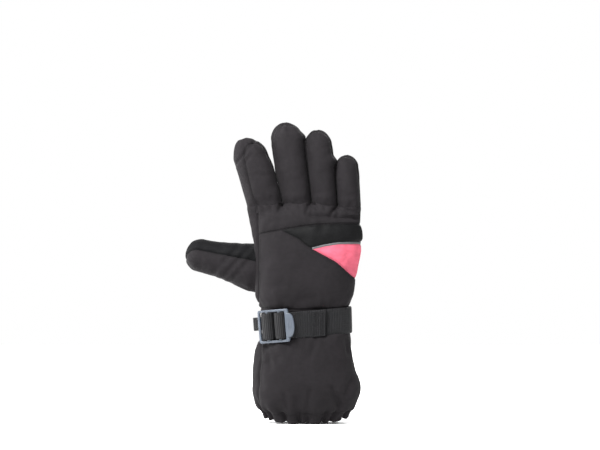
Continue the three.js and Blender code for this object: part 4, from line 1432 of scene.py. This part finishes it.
def make_strap():
    """The strap from the palm to the lock bar, its bight over the bar, and its tail."""
    thick = STRAP["thick"]
    webbing = MATERIALS["webbing"]
    x, y, normal = wrist_ring(0.9 + thick / 2)
    # The load side: from the palm, round the little-finger side and over the back to the lock bar.
    lock = buckle_point([[LOCK_BAR - 4.2, 0, -2.6], [LOCK_BAR + 2, 0, -3.4]])
    keep = np.arange(nearest(x, y, lock[1][0] + 7, -1), nearest(x, y, SEWN_AT, 1) + 1)
    points = np.vstack([lock, on_wrist(x[keep], y[keep])])
    out = np.vstack([[BUCKLE_Z, BUCKLE_Z], level(normal[keep])])
    up = np.tile(BUCKLE_Y * 0.3 + np.array([0, 0, 0.7]), (len(points), 1))
    strap = strip("strap_webbing", points, out, up, STRAP["width"], thick, webbing)
    gives = (tuple(place([lock[1]])[0]), tuple(place([lock[1] + np.array([26, 4, 0])])[0]))
    settle(strap, replaces=["wrist_strap"], blend=("buckle", "hand", *gives))
    # Its end is sewn down on the palm side.
    for shift in (3.0, 7.5):
        index = nearest(x, y, SEWN_AT + shift, 1)
        sew_across(f"strap_sewing_{int(shift)}", (x, y, normal), index, thick / 2, 10.5, "hand", 2.6, 1.9)
    # The bight over the lock bar.
    path = arch(LOCK_BAR, BAR_RADIUS + 0.3 + thick / 2, 4.7, -2.6)
    bight = strip("strap_over_bar", *in_buckle(path), STRAP["width"], thick, webbing)
    settle(bight, "buckle", ["strap_bight"])

    # The tail comes out under the tab, lies on the strap and ends in a folded, sewn loop. Over the length that
    # it slides, its path never drops towards the strap.
    x, y, normal = wrist_ring(0.9 + thick * 1.5 + 0.45)
    over = y < 0
    travel = JOINTS["tail_slide"]["range_m"][1] / MM + 0.5
    y = np.where(over, [y[over & (x >= a) & (x <= a + travel)].min(initial=b) for a, b in zip(x, y)], y)
    tab_x = buckle_point([[LOCK_BAR + 3, 0, 0]])[0][0]
    start, end = nearest(x, y, tab_x + 9, -1), nearest(x, y, TAIL_END, -1)
    run = on_wrist(x[start:end + 1], y[start:end + 1])
    run_normal = level(normal[start:end + 1])
    lift = thick + 0.15
    along = np.array([1.0, 0, STRAP["slope"]])
    turns = np.linspace(0.35, math.pi - 0.35, 7)
    turn = [run[-1] + run_normal[-1] * lift / 2 * (1 - math.cos(a)) + along * lift / 2 * math.sin(a) for a in turns]
    turn_normal = [run_normal[-1] * math.cos(a) + along * math.sin(a) for a in turns]
    back = [i for i in range(end, start, -1) if x[i] > TAIL_END - TAIL_FOLD]
    back_normal = level(normal[back])
    under = buckle_point([[LOCK_BAR + 4.4, 0, -2.2]])
    points = np.vstack([under, run, turn, on_wrist(x[back], y[back]) + back_normal * lift])
    out = np.vstack([[BUCKLE_Z], run_normal, turn_normal, -back_normal])
    up = np.tile([0.02, 0, 1.0], (len(points), 1))
    tail = strip("strap_tail_webbing", points, out, up, STRAP["width"], thick, webbing)
    settle(tail, "tail", ["strap_tail"])
    for j, shift in enumerate((1.7, 3.7, 5.7, 7.7, 9.7)):
        index = nearest(x, y, TAIL_END - TAIL_FOLD + shift, -1)
        sew_across(f"tail_sewing_{j}", (x, y, normal), index, lift + thick / 2, 11.2, "tail", 2.2, 1.8, 0.33)


def curve_plate(name, loops, low, high, bevel):
    """A plate with rounded edges from closed (x, y) loops, the first one outside; bmesh in buckle axes."""
    data = bpy.data.curves.new(name, "CURVE")
    data.dimensions = "2D"
    data.fill_mode = "BOTH"
    data.extrude = (high - low) / 2 - bevel
    data.bevel_depth = bevel
    data.bevel_resolution = 3
    data.offset = -bevel
    for loop in loops:
        spline = data.splines.new("POLY")
        spline.points.add(len(loop) - 1)
        for point, (px, py) in zip(spline.points, loop):
            point.co = (px, py, 0, 1)
        spline.use_cyclic_u = True
    obj = bpy.data.objects.new(name, data)
    bpy.context.scene.collection.objects.link(obj)
    bpy.context.view_layer.update()
    mesh = bpy.data.meshes.new_from_object(obj.evaluated_get(bpy.context.evaluated_depsgraph_get()))
    bpy.data.objects.remove(obj)
    bm = bmesh.new()
    bm.from_mesh(mesh)
    bpy.data.meshes.remove(mesh)
    bmesh.ops.remove_doubles(bm, verts=bm.verts, dist=0.002)
    for vert in bm.verts:
        vert.co.z += (low + high) / 2
    return bm


def closed_tube(rings):
    """A tube through the rings with both ends closed."""
    bm = tube_mesh(rings)
    bmesh.ops.holes_fill(bm, edges=[e for e in bm.edges if e.is_boundary])
    return bm


def rounded_box(x0, x1, y0, y1, radius):
    """The outline of a box with round corners."""
    corners = [(x1 - radius, y0 + radius, -90), (x1 - radius, y1 - radius, 0), (x0 + radius, y1 - radius, 90),
               (x0 + radius, y0 + radius, 180)]
    return [(cx + radius * math.cos(math.radians(a0 + turn)), cy + radius * math.sin(math.radians(a0 + turn)))
            for cx, cy, a0 in corners for turn in range(0, 91, 15)]


def make_buckle():
    """The ladder-lock buckle: one moulding with its two bars, its lift tab and the tab's grip ridges."""
    half = HEIGHT / 2
    left, right = END_BAR, END_BAR + LENGTH
    rail = 2.2
    outer = rounded_box(left, right + 1.2, -half, half, 2.2)
    window = rounded_box(left + 2.3, right - 2.2, -half + rail, half - rail, 1.0)
    parts = [curve_plate("plate", [outer, window], -THICK / 2, THICK / 2, 0.6)]
    tab = [(right - 1.4, -half + 3.6)]
    for a in np.linspace(-90, 90, 25):
        tab.append((right + 1.0 + (TAB - 1.0) * math.cos(math.radians(a)) ** 0.75,
                    (half - 4.2) * math.sin(math.radians(a))))
    tab.append((right - 1.4, half - 3.6))
    parts.append(curve_plate("tab", [tab], -0.1, THICK / 2 + 0.25, 0.55))
    for bar in (0.0, LOCK_BAR):
        across, through = oval(BAR_RADIUS * 1.15, BAR_RADIUS, 2.6, 20)
        rings = [np.column_stack([across + bar, np.full(20, v), through - 0.2]) for v in
                 np.linspace(-half + 0.8, half - 0.8, 12)]
        parts.append(closed_tube(rings))
    for k in range(3):
        # The grip ridges.
        at = right + 1.0 + 1.35 * k
        reach = 5.6 - 0.9 * k
        rings = []
        for v in np.linspace(-reach, reach, 9):
            r = 0.34 * math.sqrt(max(1 - (v / (reach * 1.03)) ** 2, 0.02))
            a = np.linspace(0, 2 * math.pi, 10, endpoint=False)
            rings.append(np.column_stack([at + r * np.cos(a), np.full(10, v), THICK / 2 + 0.2 + r * np.sin(a)]))
        parts.append(closed_tube(rings))
    bm = bmesh.new()
    for part in parts:
        mesh = bpy.data.meshes.new("part")
        bmesh.ops.recalc_face_normals(part, faces=part.faces)
        part.to_mesh(mesh)
        part.free()
        bm.from_mesh(mesh)
        bpy.data.meshes.remove(mesh)
    for vert in bm.verts:
        # The plate is slightly arched along the strap.
        x = vert.co.x - (left + right) / 2
        arched = (vert.co.x, vert.co.y, vert.co.z - 0.0035 * x * x)
        vert.co = Vector(buckle_point([arched])[0])
    obj = placed_object("buckle_moulding", bm, MATERIALS["buckle_plastic"])
    obj.data.set_sharp_from_angle(angle=math.radians(38))
    settle(obj, "buckle", ["buckle_frame"])


def make_anchor():
    """The keeper webbing round the anchor bar, and its folded end that sticks out as a small loop."""

    def pressed(start, end):
        """Where the buckle's heel starts to press the webbing down as it tilts, and where it does so fully."""
        return [tuple(place(buckle_point([[at, 0, -3]]))[0]) for at in (start, end)]

    thick = 1.2
    path = arch(-0.5, BAR_RADIUS + 0.25 + thick / 2, 5.6, -4.2)
    keeper = strip("keeper_webbing", *in_buckle(path), STRAP["width"], thick, MATERIALS["webbing"])
    settle(keeper, replaces=["buckle_anchor"], blend=("hand", "buckle", *pressed(-2.0, -5.6)))
    a = np.linspace(-math.pi / 2, math.pi / 2, 9)
    nose = -15.2
    loop = [(-4.4, -4.4), (-10.5, -3.9)] + [(nose + 0.9 - 0.9 * math.cos(t), -3.0 + 0.9 * math.sin(t)) for t in a]
    loop += [(-10.5, -1.95), (-7.0, -2.4)]
    points, out, up = in_buckle(loop)
    small = strip("keeper_loop", points + BUCKLE_Y * 3.2, out, up, 12.4, 0.9, MATERIALS["webbing"], rib=0.05)
    settle(small, blend=("hand", "buckle", *pressed(-2.5, -8.0)))


def make_trim():
    """The wrist elastic, the blank care label and the rows of stitches beside the seams."""
    x, y, normal = wrist_ring(-2.9)
    keep = np.flatnonzero(y > 5.5)
    points = np.column_stack([x[keep], y[keep], np.full(len(keep), STRAP["centre"])])
    band = strip("wrist_elastic_band", points, level(normal[keep]), np.tile([0, 0, 1.0], (len(keep), 1)), 16, 0.9,
                 MATERIALS["elastic"], pitch=1.2)
    settle(band, "hand", ["wrist_elastic"])

    # The care label hangs inside the cuff, folded at its lower edge.
    inner = HAND_SURFACE["fleece"]
    front, back = [], []
    for z in np.linspace(47.5, 19.4, 24):
        point, _, _, _ = inner.ray_cast(Vector((0, 0, z)), Vector((0, 1, 0)))
        sway = 0.25 * math.sin((47.5 - z) / 9)
        front.append((0, point.y - 1.35 - sway, z))
        back.append((0, point.y - 1.95 - sway, z + 0.3))
    turn = np.array(front[-1]) + np.array([[0, -0.06, -0.5], [0, -0.3, -0.75], [0, -0.54, -0.5]])
    path = np.vstack([front, turn, back[::-1]])
    slope = np.gradient(path, axis=0)
    slope /= np.linalg.norm(slope, axis=1, keepdims=True)
    out = np.column_stack([np.zeros(len(path)), -slope[:, 2], slope[:, 1]])
    label = strip("care_label_fold", path, out, np.tile([1.0, 0, 0], (len(path), 1)), 20, 0.3, MATERIALS["label"],
                  rib=0.0, pitch=1.0)
    settle(label, "hand", ["care_label"])

    for name, line in (
        ("knuckle", [(px, pz + 2.2) for px, pz in KNUCKLE_SEAM[:-2]] + [(40, 189.6)]),
        ("accent", [(px - 1.0, pz - 2.0) for px, pz in ACCENT_FOOT[:-1]]),
        ("side", [(px + 2.2, pz) for px, pz in SIDE_LINE[6:9]]),
        ("gauntlet", [(px + 2.2, pz) for px, pz in SIDE_LINE[1:5]]),
    ):
        sew(f"{name}_stitching", HAND_SURFACE["shell"], line, -1, 0.2)


set_stage()
make_hand()
make_hand_layers()
for digit in DIGITS:
    make_digit(digit)
make_strap()
make_anchor()
make_buckle()
make_trim()
